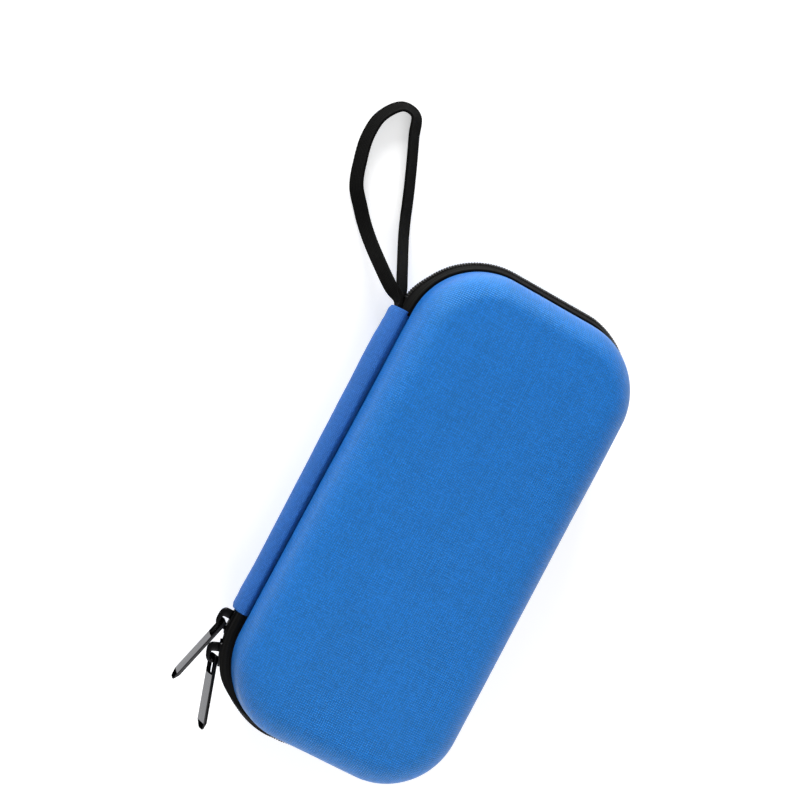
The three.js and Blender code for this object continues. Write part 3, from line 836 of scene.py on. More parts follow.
@dataclass(frozen=True)
class Cloth(Finish):
    """Plain-woven cloth."""

    thread: float = 0.86 * MM
    depth: float = 0.2 * MM
    # contrast: how far the weave's height paints shade into its hollows and highlight onto its crowns
    contrast: float = 0.6
    # pale: white added to the weave's crowns as a painted glint
    pale: float = 0.0
    sheen: float = 0.05
    nap: float = 0.3
    gloss: Colour = (0.5, 0.5, 0.5)
    gloss_level: float = 0.75
    patch: float = 24 * MM
    shares: tuple[float, float, float] = (0.56, 0.29, 0.15)  # painted relief shade, thread tone and patches
    spread: float = 0.12

    def wire(self, g: Graph, shader: bpy.types.Node) -> None:
        """Threads in relief, with painted shade in the weave's hollows and a painted highlight on its crowns,
        each thread also a little lighter or darker at random, and a soft nap.

        Args:
            g: the material's graph.
            shader: the material's own shader.
        """
        place = g.add("UVMap", uv_map=CLOTH_MAP).outputs["UV"]
        weave = g.use(weave_group(), Place=place, Thread=self.thread)
        body = g.add("TexCoord").outputs["Object"]
        patches = g.use(cloud_group(), Place=body, Size=self.patch).outputs["Value"]
        relief, thread, faded = self.shares
        # Painted shade and highlight: the weave's height darkens the hollows and lightens the crowns, mixed
        # with the threads' own tones and soft patches.
        lit = g.maths("MULTIPLY", weave.outputs["Tone"], thread)
        lit = g.maths("MULTIPLY_ADD", weave.outputs["Height"], relief, lit)
        lit = g.maths("MULTIPLY_ADD", patches, faded, lit)
        valley_shade, crown = self.shades(1 - self.contrast, 1 + self.contrast)
        g.feed(shader.inputs["Base Color"], g.tint(lit, valley_shade, tuple(c + self.pale for c in crown)))
        self.mottle(g, shader, patches, self.spread)
        shader.inputs["Specular IOR Level"].default_value = self.gloss_level
        shader.inputs["Specular Tint"].default_value = (*self.gloss, 1)
        shader.inputs["Sheen Weight"].default_value = self.sheen
        shader.inputs["Sheen Roughness"].default_value = self.nap
        shader.inputs["Sheen Tint"].default_value = (*self.gloss, 1)
        self.relief(g, shader, weave.outputs["Height"], self.depth)


@dataclass(frozen=True)
class Webbing(Finish):
    """Ribbed band: strap webbing, elastic or zipper tape."""

    rib: float = 0.8 * MM
    depth: float = 0.15 * MM
    gloss: float = 0.1
    patch: float = 9 * MM
    shares: tuple[float, float] = (0.6, 0.4)  # painted rib shade and patches

    def wire(self, g: Graph, shader: bpy.types.Node) -> None:
        """Ribs along the band, with painted shade between them.

        Args:
            g: the material's graph.
            shader: the material's own shader.
        """
        place = g.add("UVMap", uv_map=CLOTH_MAP).outputs["UV"]
        ribs = g.use(rib_group(), Place=place, Rib=self.rib)
        patches = g.use(cloud_group(), Place=place, Size=self.patch).outputs["Value"]
        # Painted shade: the ribs' height darkens the band between them, mixed with soft patches.
        lit = g.maths("MULTIPLY", ribs.outputs["Height"], self.shares[0])
        lit = g.maths("MULTIPLY_ADD", patches, self.shares[1], lit)
        self.tone(g, shader, lit, low=0.5, high=1.5)
        self.mottle(g, shader, patches, spread=0.2)
        shader.inputs["Specular IOR Level"].default_value = self.gloss
        self.relief(g, shader, ribs.outputs["Height"], self.depth)


@dataclass(frozen=True)
class Strand(Finish):
    """Nylon, thread or yarn: one filament with a soft gloss."""

    patch: float = 2 * MM

    def wire(self, g: Graph, shader: bpy.types.Node) -> None:
        """Small differences in tone and gloss along the filament.

        Args:
            g: the material's graph.
            shader: the material's own shader.
        """
        place = g.add("TexCoord").outputs["Object"]
        patches = g.use(cloud_group(), Place=place, Size=self.patch).outputs["Value"]
        self.tone(g, shader, patches, low=0.6, high=1.4)
        self.mottle(g, shader, patches, spread=0.2)


@dataclass(frozen=True)
class Plated(Finish):
    """Plated metal that is rubbed bright on its edges."""

    rubbed: Colour = (0.5, 0.5, 0.5)
    aslant: float = 0.5
    scratch: float = 0.01 * MM
    patch: float = 3 * MM

    def wire(self, g: Graph, shader: bpy.types.Node) -> None:
        """Metal with rubbed edges and hair scratches.

        Args:
            g: the material's graph.
            shader: the material's own shader.
        """
        place = g.add("TexCoord").outputs["Object"]
        wear = g.use(wear_group(), Place=place, Size=self.patch)
        g.feed(shader.inputs["Base Color"], g.tint(wear.outputs["Edge"], self.colour, self.rubbed))
        self.mottle(g, shader, wear.outputs["Scratch"], spread=0.16)
        shader.inputs["Metallic"].default_value = 1
        shader.inputs["Specular Tint"].default_value = (self.aslant, self.aslant, self.aslant, 1)
        self.relief(g, shader, wear.outputs["Scratch"], self.scratch)


@dataclass(frozen=True)
class Foil(Finish):
    """Aluminised film on foam, with soft creases."""

    crease: float = 7 * MM
    depth: float = 0.5 * MM
    metal: float = 0.85

    def wire(self, g: Graph, shader: bpy.types.Node) -> None:
        """A bright film over shallow creases.

        Args:
            g: the material's graph.
            shader: the material's own shader.
        """
        place = g.add("TexCoord").outputs["Object"]
        folds = g.add("TexVoronoi", {"Vector": place, "Scale": 1 / self.crease}, feature="SMOOTH_F1")
        patches = g.use(cloud_group(), Place=place, Size=self.crease).outputs["Value"]
        height = g.maths("MULTIPLY_ADD", patches, 0.6, folds.outputs["Distance"])
        self.tone(g, shader, patches, low=0.85, high=1.12)
        self.mottle(g, shader, patches, spread=0.2)
        shader.inputs["Metallic"].default_value = self.metal
        self.relief(g, shader, height, self.depth)


@dataclass(frozen=True)
class Film(Finish):
    """Clear welded film over gel."""

    patch: float = 14 * MM
    depth: float = 0.6 * MM
    coat: float = 0.6
    coat_roughness: float = 0.12

    def wire(self, g: Graph, shader: bpy.types.Node) -> None:
        """Cloudy gel under a glossy film.

        Args:
            g: the material's graph.
            shader: the material's own shader.
        """
        place = g.add("TexCoord").outputs["Object"]
        patches = g.use(cloud_group(), Place=place, Size=self.patch).outputs["Value"]
        self.tone(g, shader, patches, low=0.75, high=1.25)
        self.mottle(g, shader, patches, spread=0.16)
        shader.inputs["Coat Weight"].default_value = self.coat
        shader.inputs["Coat Roughness"].default_value = self.coat_roughness
        self.relief(g, shader, patches, self.depth)


# The pale values of the blue cloths add a painted glint to the weave's crowns.
SHELL_CLOTH = Cloth("Blue shell cloth", "shell_fabric", (0.002, 0.138, 0.535), 0.38, pale=0.004,
                    sheen=0.0, gloss=(0.4, 0.9, 0.8))
SPINE_CLOTH = Cloth("Blue spine cloth", "spine_fabric", (0.012, 0.115, 0.45), 0.6, thread=0.66 * MM,
                    pale=0.01, gloss=(0.4, 0.7, 1))
PANEL_CLOTH = Cloth("Grey board cloth", "panel_board", (0.1, 0.115, 0.14), 0.85, thread=0.7 * MM)
ZIPPER_TAPE = Webbing("Black zipper tape", "black_tape", (0.0045, 0.0043, 0.004), 0.6, rib=0.9 * MM,
                      gloss=0.08)
ELASTIC = Webbing("Black elastic", "black_elastic", (0.009, 0.009, 0.01), 0.8, rib=1.3 * MM, depth=0.3 * MM)
STRAP_WEB = Webbing("Black strap webbing", "black_webbing", (0.003, 0.0029, 0.0027), 0.75, rib=0.9 * MM,
                    gloss=0.05)
COIL_NYLON = Strand("Black coil nylon", "black_nylon", (0.007, 0.006, 0.0055), 0.34)
NET_YARN = Strand("Black net yarn", "black_net", (0.01, 0.01, 0.012), 0.7)
SEAM_THREAD = Strand("Black seam thread", "black_tape", (0.011, 0.011, 0.0115), 0.55)
SLIDER_METAL = Plated("Black slider plating", "slider_metal", (0.016, 0.016, 0.017), 0.3,
                      rubbed=(0.04, 0.04, 0.04), aslant=0.08)
TAB_METAL = Plated("Gunmetal tab plating", "tab_metal", (0.2, 0.2, 0.208), 0.26, aslant=0.7)
LINER_FOIL = Foil("Liner foil", "foil_foam", (0.74, 0.75, 0.77), 0.34)
GEL_FILM = Film("Gel film", "gel_film", (0.27, 0.55, 0.78), 0.25)


# How pieces ride


def settle(piece: Object, node: str) -> None:
    """Lets a piece stand for a CAD node and ride on that node's body.

    Args:
        piece: the piece, in place.
        node: the CAD node.
    """
    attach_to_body(piece, BODY_OF[node])
    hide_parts(node)
    LOG.info("%s stands for %s on %s", piece.name, node, BODY_OF[node])


def attach(piece: Object, node: str) -> None:
    """Lets trim ride with a CAD node's body without standing for the node.

    Args:
        piece: the piece, in place.
        node: the CAD node.
    """
    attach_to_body(piece, BODY_OF[node])
    LOG.info("%s rides with %s", piece.name, node)


def stretch_between(piece: Object, node: str, bodies: tuple[str, str]) -> None:
    """Lets soft fabric stand for a CAD node, fixed in the case where it lies.

    Args:
        piece: the fabric, with no parent.
        node: the CAD node that it stands for.
        bodies: the body at its start and the one at its end, named only in the log.
    """
    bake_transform(piece)
    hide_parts(node)
    LOG.info("%s bends between %s and %s", piece.name, *bodies)


# Shells, liners and what fills them


def closing_rows(case: Case, edge: np.ndarray, steps: int, rise: float = 0) -> np.ndarray:
    """Rows that close a rim-shaped ring, from the case's middle line out to the ring.

    Args:
        case: the case's sizes.
        edge: the ring.
        steps: how many rows lie inside the ring.
        rise: how far the middle stands above the ring.

    Returns:
        steps x columns x 3 points, the middle line first and the ring itself left out.
    """
    reach = (case.length - case.width) / 2
    spine = np.column_stack([np.zeros(len(edge)), np.clip(edge[:, 1], -reach, reach), edge[:, 2]])
    share = np.linspace(0, 1, steps, endpoint=False)[:, None, None]
    rows = spine + (edge - spine) * share
    rows[..., 2] += rise * (1 - share[..., 0] ** 3)
    return rows


def rim_solid(name: str, case: Case, profile: np.ndarray, rises: tuple[float, float] = (0, 0)) -> Skin:
    """A closed solid whose rings follow the rim.

    Args:
        name: the skin's name.
        case: the case's sizes.
        profile: [inset, z] of each ring, from the lower face's edge to the upper face's edge.
        rises: how far the middle of the lower and the upper face stands above its edge.

    Returns:
        The skin, with its cloth laid flat from the face outwards.
    """
    stations = case.rim.whole(case.step)
    rings = np.stack([stations.ring(-inset, z) for inset, z in profile])
    first = closing_rows(case, rings[0], FACE_ROWS, rises[0])
    last = closing_rows(case, rings[-1], FACE_ROWS, rises[1])[::-1]
    points = np.concatenate([first, rings, last])
    spread = case.corner - profile[0, 0] + steps_along(profile)
    laid_out = stations.core + spread[:, None, None] * stations.out
    flat = np.concatenate([first[..., :2], laid_out, last[..., :2]])
    flat = np.concatenate([flat, flat[:, :1]], axis=1)
    return Skin(name).grid(points, flat, wrap_columns=True)


@dataclass
class Tray:
    """A moulded tray of one half: the fabric-faced shell or the foil-faced liner inside it."""

    case: Case
    half: Half
    node: str
    finish: Finish
    wall: float
    inset: float = 0.0
    floor: float = 0.0
    lip: float = 0.9 * MM
    crown: float = 0.0
    waves: tuple[float, float] = (34 * MM, 0.18 * MM)  # spacing, height

    def profile(self) -> np.ndarray:
        """[inset, height] from the outer face's edge, over the lip, to the inner floor's edge.

        Returns:
            One point a row.
        """
        face, shoulder = self.case.face_inset, self.case.shoulder
        outer_wall = self.inset + self.case.draft
        inner_wall = outer_wall + self.wall
        floor = self.floor + self.wall
        turn = np.linspace(0, math.pi / 2, 18)
        outer = np.column_stack([face - (face - outer_wall) * np.sin(turn),
                                 shoulder - (shoulder - self.floor) * np.cos(turn)])
        lip_z = self.case.depth - self.lip
        over = arc((self.inset + self.lip, lip_z), self.lip, 180, 90, 6)
        down = arc((self.inset + self.wall - self.lip, lip_z), self.lip, 90, 0, 6)
        inner = np.column_stack([inner_wall + (face - inner_wall) * (1 - np.cos(turn)),
                                 shoulder - (shoulder - floor) * np.sin(turn)])
        return np.vstack([outer, over, down, inner])

    def build(self) -> None:
        """Makes the tray and lets it stand for its node."""
        profile = self.profile()
        profile[:, 1] = self.case.height(self.half, profile[:, 1])
        skin = rim_solid(self.node + "_skin", self.case, profile, (self.crown, 0))
        piece = soften(skin.object(self.finish, creases=60), *self.waves)
        settle(piece, self.node)


@dataclass
class Binding:
    """The ribbon that covers a half's inner seam, with its row of stitches."""

    case: Case
    half: Half
    width: float = 4.2 * MM
    sunk: float = 0.2 * MM
    stitch: Stitch = Stitch(3.4 * MM, 0.22 * MM)

    def section(self) -> np.ndarray:
        """The ribbon's closed section of [outset, z] points on the liner's inner wall.

        Returns:
            One point a row.
        """
        case = self.case
        slope = case.draft / (case.depth - case.shoulder)
        top = case.depth - case.fit
        heights = np.linspace(top, top - self.width, 7)
        insets = case.liner_inset + case.liner_wall + case.fit + case.binding / 2
        insets = insets + slope * (case.depth - heights)
        ribbon = band(np.column_stack([-insets, heights]), case.binding)
        ribbon[:, 1] = case.height(self.half, ribbon[:, 1])
        return ribbon

    def build(self) -> None:
        """Makes the ribbon and sews it on."""
        node = f"{self.half.word}_rim_binding"
        stations = self.case.rim.whole(self.case.step)
        section = self.section()
        flat = unrolled(np.append(stations.distance, self.case.rim.around), girth(section))
        ribbon = Skin(node + "_ribbon").grid(stations.sweep(section), flat, wrap_rows=True, wrap_columns=True)
        settle(ribbon.object(ZIPPER_TAPE), node)
        inner = min(section[:, 0]) + self.sunk
        seam = stations.ring(inner, self.case.height(self.half, self.case.depth - self.width / 2))
        thread = Skin(node + "_stitches").stitches(seam, -stations.outward, self.stitch)
        attach(thread.object(SEAM_THREAD), node)


@dataclass
class GelPack:
    """A welded pouch of gel that lies on the back liner's floor."""

    case: Case
    margin: float = 2.6 * MM
    height: float = 7 * MM
    seam: float = 0.8 * MM
    seam_width: float = 3.5 * MM
    swell: float = 9 * MM
    waves: tuple[float, float] = (16 * MM, 0.3 * MM)  # spacing, height

    def build(self) -> None:
        """Makes the pouch: a flat weld all round a soft, uneven pillow."""
        low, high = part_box("gel_pack")
        middle = (low.z + high.z) / 2
        edge = self.case.inner_inset + self.margin
        weld = edge + self.seam_width
        turn = np.linspace(0, math.pi / 2, 9)
        pillow = np.column_stack([weld + self.swell * (1 - np.cos(turn)),
                                  self.seam / 2 + (self.height / 2 - self.seam / 2) * np.sin(turn)])
        rounded = arc((edge + self.seam / 2, 0), self.seam / 2, 90, 270, 7)
        profile = np.vstack([pillow[::-1] * (1, -1), rounded[::-1], pillow])
        profile[:, 1] += middle
        pouch = rim_solid("gel_pack_pouch", self.case, profile).object(GEL_FILM, creases=70)
        soften(pouch, *self.waves)
        settle(pouch, "gel_pack")


@dataclass
class PenPanel:
    """The cloth-covered board over the gel pack, with two elastics of pen loops."""

    case: Case
    edge: float = 0.8 * MM
    elastic: float = 1.1 * MM
    loops: int = 3
    loop_width: float = 17 * MM
    loop_spacing: float = 4.8 * MM
    loop_height: float = 16.4 * MM
    loop_corner: float = 5 * MM
    loop_foot: tuple[tuple[float, float], ...] = ((1.2 * MM, 0), (0.2 * MM, 0.4 * MM), (0, 2 * MM))
    end_gap: float = 0.8 * MM
    stitch: Stitch = Stitch(2.4 * MM, 0.2 * MM)

    @property
    def top(self) -> float:
        """The board's upper face."""
        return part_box("pen_panel")[1].z

    @property
    def span(self) -> float:
        """Half the length of a sewn elastic."""
        return self.case.width / 2 - self.case.inner_inset - self.end_gap

    @property
    def loop_middles(self) -> list[float]:
        """Where the pen loops stand across the board."""
        pitch = self.loop_width + 2 * self.elastic + self.loop_spacing
        return [(i - (self.loops - 1) / 2) * pitch for i in range(self.loops)]

    def board(self) -> None:
        """Makes the board, with its cloth turned over a rounded edge."""
        low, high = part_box("pen_panel")
        inset = self.case.inner_inset + self.edge
        lower = arc((inset, low.z + self.edge), self.edge, 270, 180, 5)
        upper = arc((inset, high.z - self.edge), self.edge, 180, 90, 5)
        board = rim_solid("pen_panel_board", self.case, np.vstack([lower, upper]))
        settle(board.object(PANEL_CLOTH, creases=60), "pen_panel")

    def loop_line(self) -> np.ndarray:
        """The elastic's centre line of [x, z] points: flat on the board between its loops.

        Returns:
            One point a row.
        """
        foot = self.top + self.case.fit + self.elastic / 2
        crown = self.top + self.loop_height + self.elastic / 2
        half = (self.loop_width + self.elastic) / 2
        bend = self.loop_corner + self.elastic / 2
        curve = np.array(self.loop_foot)
        runs = [[(-self.span, foot)]]
        for middle in self.loop_middles:
            left, right = middle - half, middle + half
            runs.append((left, foot) + curve * (-1, 1))
            runs.append(arc((left + bend, crown - bend), bend, 180, 90, 7))
            runs.append(arc((right - bend, crown - bend), bend, 90, 0, 7))
            runs.append((right, foot) + curve[::-1])
        runs.append([(self.span, foot)])
        return np.vstack(runs)

    def sewn_elastic(self, node: str) -> None:
        """Makes one elastic and sews it down on both sides of each loop.

        Args:
            node: the elastic's CAD node.
        """
        low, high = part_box(node)
        outline = band(self.loop_line(), self.elastic)
        across = np.linspace(low.y, high.y, 19)
        rows = np.stack([np.insert(outline, 1, y, axis=1) for y in across])
        flat = unrolled(across, girth(outline))[..., ::-1]
        strip = Skin(node + "_band").bar(rows, flat)
        settle(strip.object(ELASTIC, creases=50), node)
        sewn = Skin(node + "_stitches")
        foot = self.top + self.case.fit + self.elastic
        half = self.loop_width / 2 + self.elastic + self.loop_spacing / 4
        for x in [m + side * half for m in self.loop_middles for side in (-1, 1)]:
            line = np.linspace((x, low.y + MM, foot), (x, high.y - MM, foot), 12)
            sewn.stitches(line, np.array([0, 0, 1]), self.stitch)
        attach(sewn.object(SEAM_THREAD), node)

    def build(self) -> None:
        """Makes the board and both elastics."""
        self.board()
        for node in ("pen_elastic_upper", "pen_elastic_lower"):
            self.sewn_elastic(node)


@dataclass
class NetPocket:
    """The lid's net, sewn round three sides, with an elastic hem along its mouth."""

    case: Case
    yarn: float = 0.3 * MM
    mesh: float = 2.4 * MM
    slant: float = 56.0
    knot: float = 0.4
    edging: float = 2.6 * MM
    edging_height: float = 3.2
    gathers: float = 5 * MM
    gather_depth: float = 0.1
    hem_round: tuple[float, float] = (0.6, 0.8)  # across and up, round at 1
    hem_girth: float = 11 * MM

    def outline(self) -> np.ndarray:
        """The net's outline seen from above, closed along its mouth.

        Returns:
            One [x, y] point a row.
        """
        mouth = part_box("net_pocket")[1].x
        ring = self.case.rim.whole(self.case.step).ring(-self.case.inner_inset, 0)[:, :2]
        inside = ring[:, 0] < mouth
        first = int(np.argmax(~inside))
        last = len(ring) - int(np.argmax(~inside[::-1]))
        return np.vstack([ring[:first], ring[last:]])

    def strands(self, outline: np.ndarray, angle: float) -> list[np.ndarray]:
        """Straight yarns at an angle, cut off at the outline.

        Args:
            outline: the convex outline.
            angle: the yarns' direction in degrees.

        Returns:
            The two ends of each yarn.
        """
        along = np.array([math.cos(math.radians(angle)), math.sin(math.radians(angle))])
        across = np.array([-along[1], along[0]])
        offsets = outline @ across
        following = np.roll(outline, -1, axis=0)
        found = []
        for offset in np.arange(min(offsets) + self.mesh / 2, max(offsets), self.mesh):
            gap, after = offsets - offset, following @ across - offset
            cut = gap * after < 0
            share = (gap[cut] / (gap[cut] - after[cut]))[:, None]
            ends = outline[cut] + share * (following[cut] - outline[cut])
            if len(ends) == 2:
                found.append(ends)
        return found

    def build(self) -> None:
        """Knots the net, edges it and gathers its hem."""
        low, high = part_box("net_pocket")
        z = (low.z + high.z) / 2
        outline = self.outline()
        net = Skin("net_pocket_net")
        for side in (1, -1):
            for ends in self.strands(outline, side * self.slant):
                net.tube(np.column_stack([ends, np.full(2, z + side * self.knot * self.yarn)]), self.yarn)
        piece = net.object(NET_YARN, creases=70)
        settle(piece, "net_pocket")
        self.edge_tape(outline, z)
        self.hem()

    def edge_tape(self, outline: np.ndarray, z: float) -> None:
        """Binds the net's sewn sides with a narrow tape.

        Args:
            outline: the net's outline.
            z: the net's height.
        """
        first = int(np.argmax(np.linalg.norm(np.diff(outline, axis=0), axis=1))) + 1
        line = np.roll(outline, -first, axis=0)
        inward = -line / np.linalg.norm(line, axis=1, keepdims=True)
        section = band(np.linspace((0, 0), (self.edging, 0), 4), self.edging_height * self.yarn)
        rows = np.stack([np.column_stack([p + section[:, :1] * n, z + section[:, 1]])
                         for p, n in zip(line, inward)])
        flat = unrolled(steps_along(line), np.linspace(0, 2 * self.edging, len(section) + 1))
        tape = Skin("net_pocket_edging").bar(rows, flat)
        attach(tape.object(ZIPPER_TAPE), "net_pocket")

    def hem(self) -> None:
        """Makes the elastic hem, slightly gathered along its length."""
        low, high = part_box("pocket_hem")
        middle, half = (low + high) / 2, (high - low) / 2
        along = np.linspace(low.y, high.y, 160)
        turn = np.linspace(0, 2 * math.pi, 20, endpoint=False)
        wide, tall = (np.sign(v) * np.abs(v) ** power
                      for v, power in zip((np.cos(turn), np.sin(turn)), self.hem_round))
        swell = 1 - self.gather_depth + self.gather_depth * np.cos(along * 2 * math.pi / self.gathers)
        rows = np.stack([np.column_stack([middle.x + half.x * wide, np.full(len(turn), y),
                                          middle.z + half.z * s * tall]) for y, s in zip(along, swell)])
        flat = unrolled(along, np.linspace(0, self.hem_girth, len(turn) + 1))
        piece = Skin("pocket_hem_elastic").bar(rows, flat)
        settle(piece.object(ELASTIC, creases=60), "pocket_hem")


# Zipper and spine


@dataclass
class Zipper:
    """The chain round the case: two tapes, and two nylon coils that mesh between them."""

    case: Case
    seam_depth: float = 4.3 * MM
    bulge: float = 2.2 * MM
    bend: float = 4.6 * MM
    bunch: float = 1.9 * MM
    flat_tape: float = 0.35
    end_bulge: float = 0.74
    end_hook: float = 1.2
    end_push: float = 0.5
    flat_coil: float = 0.5
    coil_inner: float = 1.3 * MM
    coil_outer: float = 3.5 * MM
    coil_rise: float = 2.6 * MM
    coil_spread: float = 0.8 * MM
    top_stop: float = 6 * MM
    mesh_over: float = 0.55 * MM
    parted: float = 0.7 * MM
    wire: float = 0.36 * MM
    filler: float = 0.6 * MM
    pitch: float = 1 * MM
    turn_points: int = 12
    cut_back: float = 0.1
    closing: float = 8 * MM
    chain_start: float = 64.5 * MM
    chain_angle: float = 36.0
    slider_run: float = 32 * MM
    sink: tuple[float, float] = (5 * MM, 15 * MM)  # from before the run's end, over a length
    rise_before: tuple[float, float] = (27 * MM, 2 * MM)  # from and to before the strap end
    early_bulge: float = 18 * MM
    pressed: tuple[float, float] = (18 * MM, 10 * MM)  # from before the zipper's end, over a length
    slack: float = 0.8
    slack_at: tuple[float, ...] = (2 * MM, 12 * MM, 42 * MM, 62 * MM)
    bunched: tuple[float, float] = (4 * MM, 18 * MM)  # up to before the chain's end, fading over a length
    hooked: float = 3.5 * MM
    free_edge: float = 1.7 * MM
    stitch: Stitch = Stitch(2.6 * MM, 0.13 * MM)
    stitch_rise: float = 3.9 * MM
    stitch_out: float = 0.45
    spine_upper_end: float = 67.5 * MM

    @property
    def chain_end(self) -> float:
        """How far round the piece of chain under the parked sliders ends."""
        return self.case.rim.side + math.radians(self.chain_angle) * self.case.corner

    @property
    def zipper_end(self) -> float:
        """How far round the zipper ends, at the strap."""
        return self.case.rim.around - self.spine_upper_end - self.case.fit

    @property
    def coil_middle(self) -> float:
        """How far out the middle of an even coil lies."""
        return (self.coil_inner + self.coil_outer) / 2

    @property
    def run_end(self) -> float:
        """How far round the lower slider's run reaches."""
        return self.chain_end + self.slider_run

    def drawn_in(self, distance: np.ndarray, least: float, last: float = 1, early: float = 0) -> np.ndarray:
        """How far the chain stands out from the rim, as a share that is least on the opening side.

        Args:
            distance: how far round each place is.
            least: the share on the opening side.
            last: the share along the strap end.
            early: how far before the end of the lower slider's run it starts to sink.

        Returns:
            The share at each place.
        """
        first = self.run_end - self.sink[0] - early
        upper = self.case.rim.strap_corner[1] - np.array(self.rise_before)
        return np.interp(distance, [first, first + self.sink[1], *upper], [1, least, least, last])

    def swell(self, distance: np.ndarray) -> np.ndarray:
        """How far the chain is pushed out where the strap presses on its end, as a share."""
        before, over = self.pressed
        return smooth((distance - self.zipper_end + before) / over)

    def tape_line(self, backed: bool = False, full: bool = False) -> np.ndarray:
        """The tape's centre line, from the shell's seam to the coil.

        Args:
            backed: whether it goes on behind the coil.
            full: whether it is bunched up, as it is beside a parked slider.

        Returns:
            Points of [outset, rise].
        """
        case = self.case
        root = -(case.shell_wall + case.fit + case.tape / 2)
        slope = case.draft / (case.depth - case.shoulder)
        seam = [(root - slope * self.seam_depth, case.rise + self.seam_depth), (root, case.rise + 0.4 * MM)]
        bunch = self.bunch if full else 0
        bent = [(root + 0.4 * MM, case.rise - case.tape), (-1.4 * MM, case.rise - case.tape),
                (0.1 * MM, case.rise - 1.9 * MM), (1.1 * MM + bunch / 2, case.rise - 1.5 * MM + bunch / 6),
                (self.bulge + bunch, self.bend + bunch / 3),
                (self.bulge - 0.1 * MM + bunch / 8, self.coil_rise + 0.9 * MM + bunch / 2),
                (self.bulge - 0.8 * MM, self.coil_rise + 0.5 * MM)]
        behind = self.coil_inner - case.tape / 2 - 0.1 * MM
        backing = [(behind, self.coil_rise - 0.2 * MM), (behind, self.coil_rise - 1.4 * MM)]
        return through(np.array(seam + bent + (backing if backed else [])), count=30)

    def tape(self, node: str, half: Half, start: float, stop: float) -> Object:
        """Makes a stretch of tape that reaches into the shell's seam.

        Args:
            node: the CAD node that it is made for.
            half: which side of the chain it is on.
            start: how far round it begins.
            stop: how far round it ends.

        Returns:
            The tape, which rides on nothing yet.
        """
        stations = self.case.rim.stretch(start, stop, self.case.step)
        free = band(self.tape_line(), self.case.tape)
        parked = band(self.tape_line(full=True), self.case.tape)
        backed = band(self.tape_line(backed=True), self.case.tape)
        at = stations.distance[:, None, None]
        section = parked + smooth((at - self.chain_end + self.bunched[0]) / self.bunched[1]) * (free - parked)
        section += smooth((at - self.run_end) / self.closing) * (backed - free)
        at = at[..., 0]
        hook = self.drawn_in(at, self.flat_tape, self.end_hook) + self.end_push * self.swell(at)
        bulge = self.drawn_in(at, self.flat_tape, self.end_bulge, self.early_bulge)
        sunk = hook + smooth((section[..., 1] - self.hooked) / MM) * (bulge - hook)
        section[..., 0] *= np.where(section[..., 0] > 0, sunk, 1)
        section[..., 1] = self.case.middle + half.value * section[..., 1]
        flat = unrolled(stations.distance, girth(free))
        skin = Skin(node + "_cloth").bar(stations.sweep(section), flat)
        return skin.object(ZIPPER_TAPE, creases=60)

    def coil_core(self, at: np.ndarray) -> np.ndarray:
        """How far out the coil's core lies at distances round the rim.

        Args:
            at: the distances.

        Returns:
            The outset at each.
        """
        fades = [*self.case.rim.strap_corner, self.zipper_end - self.top_stop, self.zipper_end]
        spread = np.interp(at, fades, [0, 1, 1, 0])
        spread *= self.coil_spread * (1 + self.swell(at))
        sunk = np.interp(at, self.chain_end + np.array(self.slack_at), [1, self.slack, self.slack, 1])
        return (self.coil_middle + spread) * np.minimum(sunk, self.drawn_in(at, self.flat_coil))

    def coil(self, node: str, half: Half, start: float, stop: float) -> Object:
        """Makes a stretch of coil whose turns mesh with those of the other half.

        Args:
            node: the CAD node that it is made for.
            half: which side of the chain it is on.
            start: how far round it begins.
            stop: how far round it ends.

        Returns:
            The coil, which rides on nothing yet.
        """
        shift = 0 if half is Half.BACK else 0.5
        first = math.ceil(start / self.pitch - shift) + self.cut_back
        last = math.floor(stop / self.pitch - shift) - self.cut_back
        turns = np.linspace(first, last, round((last - first) * self.turn_points)) + shift
        at = turns * self.pitch
        stations = self.case.rim.walk(at)
        angle = 2 * math.pi * (turns - shift)
        meshed = np.interp(at, [self.run_end, self.run_end + self.closing], [-self.parted, self.mesh_over])
        reach = (self.coil_rise + meshed) / 2 - self.wire
        level = self.coil_rise - self.wire - reach
        core = self.coil_core(at)
        outset = core + (self.coil_outer - self.coil_middle - self.wire) * np.sin(angle)
        wound = at < self.zipper_end - self.top_stop
        skin = Skin(node + "_wire")
        for out, up, radius, kept in (
                (outset, level + reach * np.cos(angle), self.wire, wound),
                (core, level, self.filler, slice(0, None, self.turn_points))):
            skin.tube(stations.ring(out, self.case.middle + half.value * up)[kept], radius)
        return skin.object(COIL_NYLON, creases=80)

    def tape_stitches(self, half: Half) -> None:
        """Sews each long tape down beside the shell's lip.

        Args:
            half: which side of the chain the tape is on.
        """
        node = f"{half.word}_zipper_tape"
        stations = self.case.rim.stretch(self.run_end, self.zipper_end, self.case.step)
        drawn = self.drawn_in(stations.distance, self.flat_tape, self.end_bulge)
        out = (self.bulge + self.stitch_out * self.case.tape) * drawn
        line = stations.ring(out, self.case.middle + half.value * self.stitch_rise)
        thread = Skin(node + "_stitches").stitches(line, stations.outward, self.stitch)
        attach(thread.object(SEAM_THREAD), node)

    def build(self) -> None:
        """Makes both long tapes and coils, and the chain's end beside the spine."""
        case = self.case
        for half in Half:
            node = f"{half.word}_zipper_tape"
            settle(self.tape(node, half, self.chain_end, self.zipper_end), node)
            node = f"{half.word}_zipper_coil"
            settle(self.coil(node, half, self.chain_end + case.fit, self.zipper_end), node)
            self.tape_stitches(half)
            node = f"end_tape_{half.word}"
            soft = self.tape(node, half, self.chain_start, self.chain_end)
            stretch_between(soft, node, (half.body, "spine"))
            node = f"end_coil_{half.word}"
            settle(self.coil(node, half, self.chain_start, self.chain_end), node)


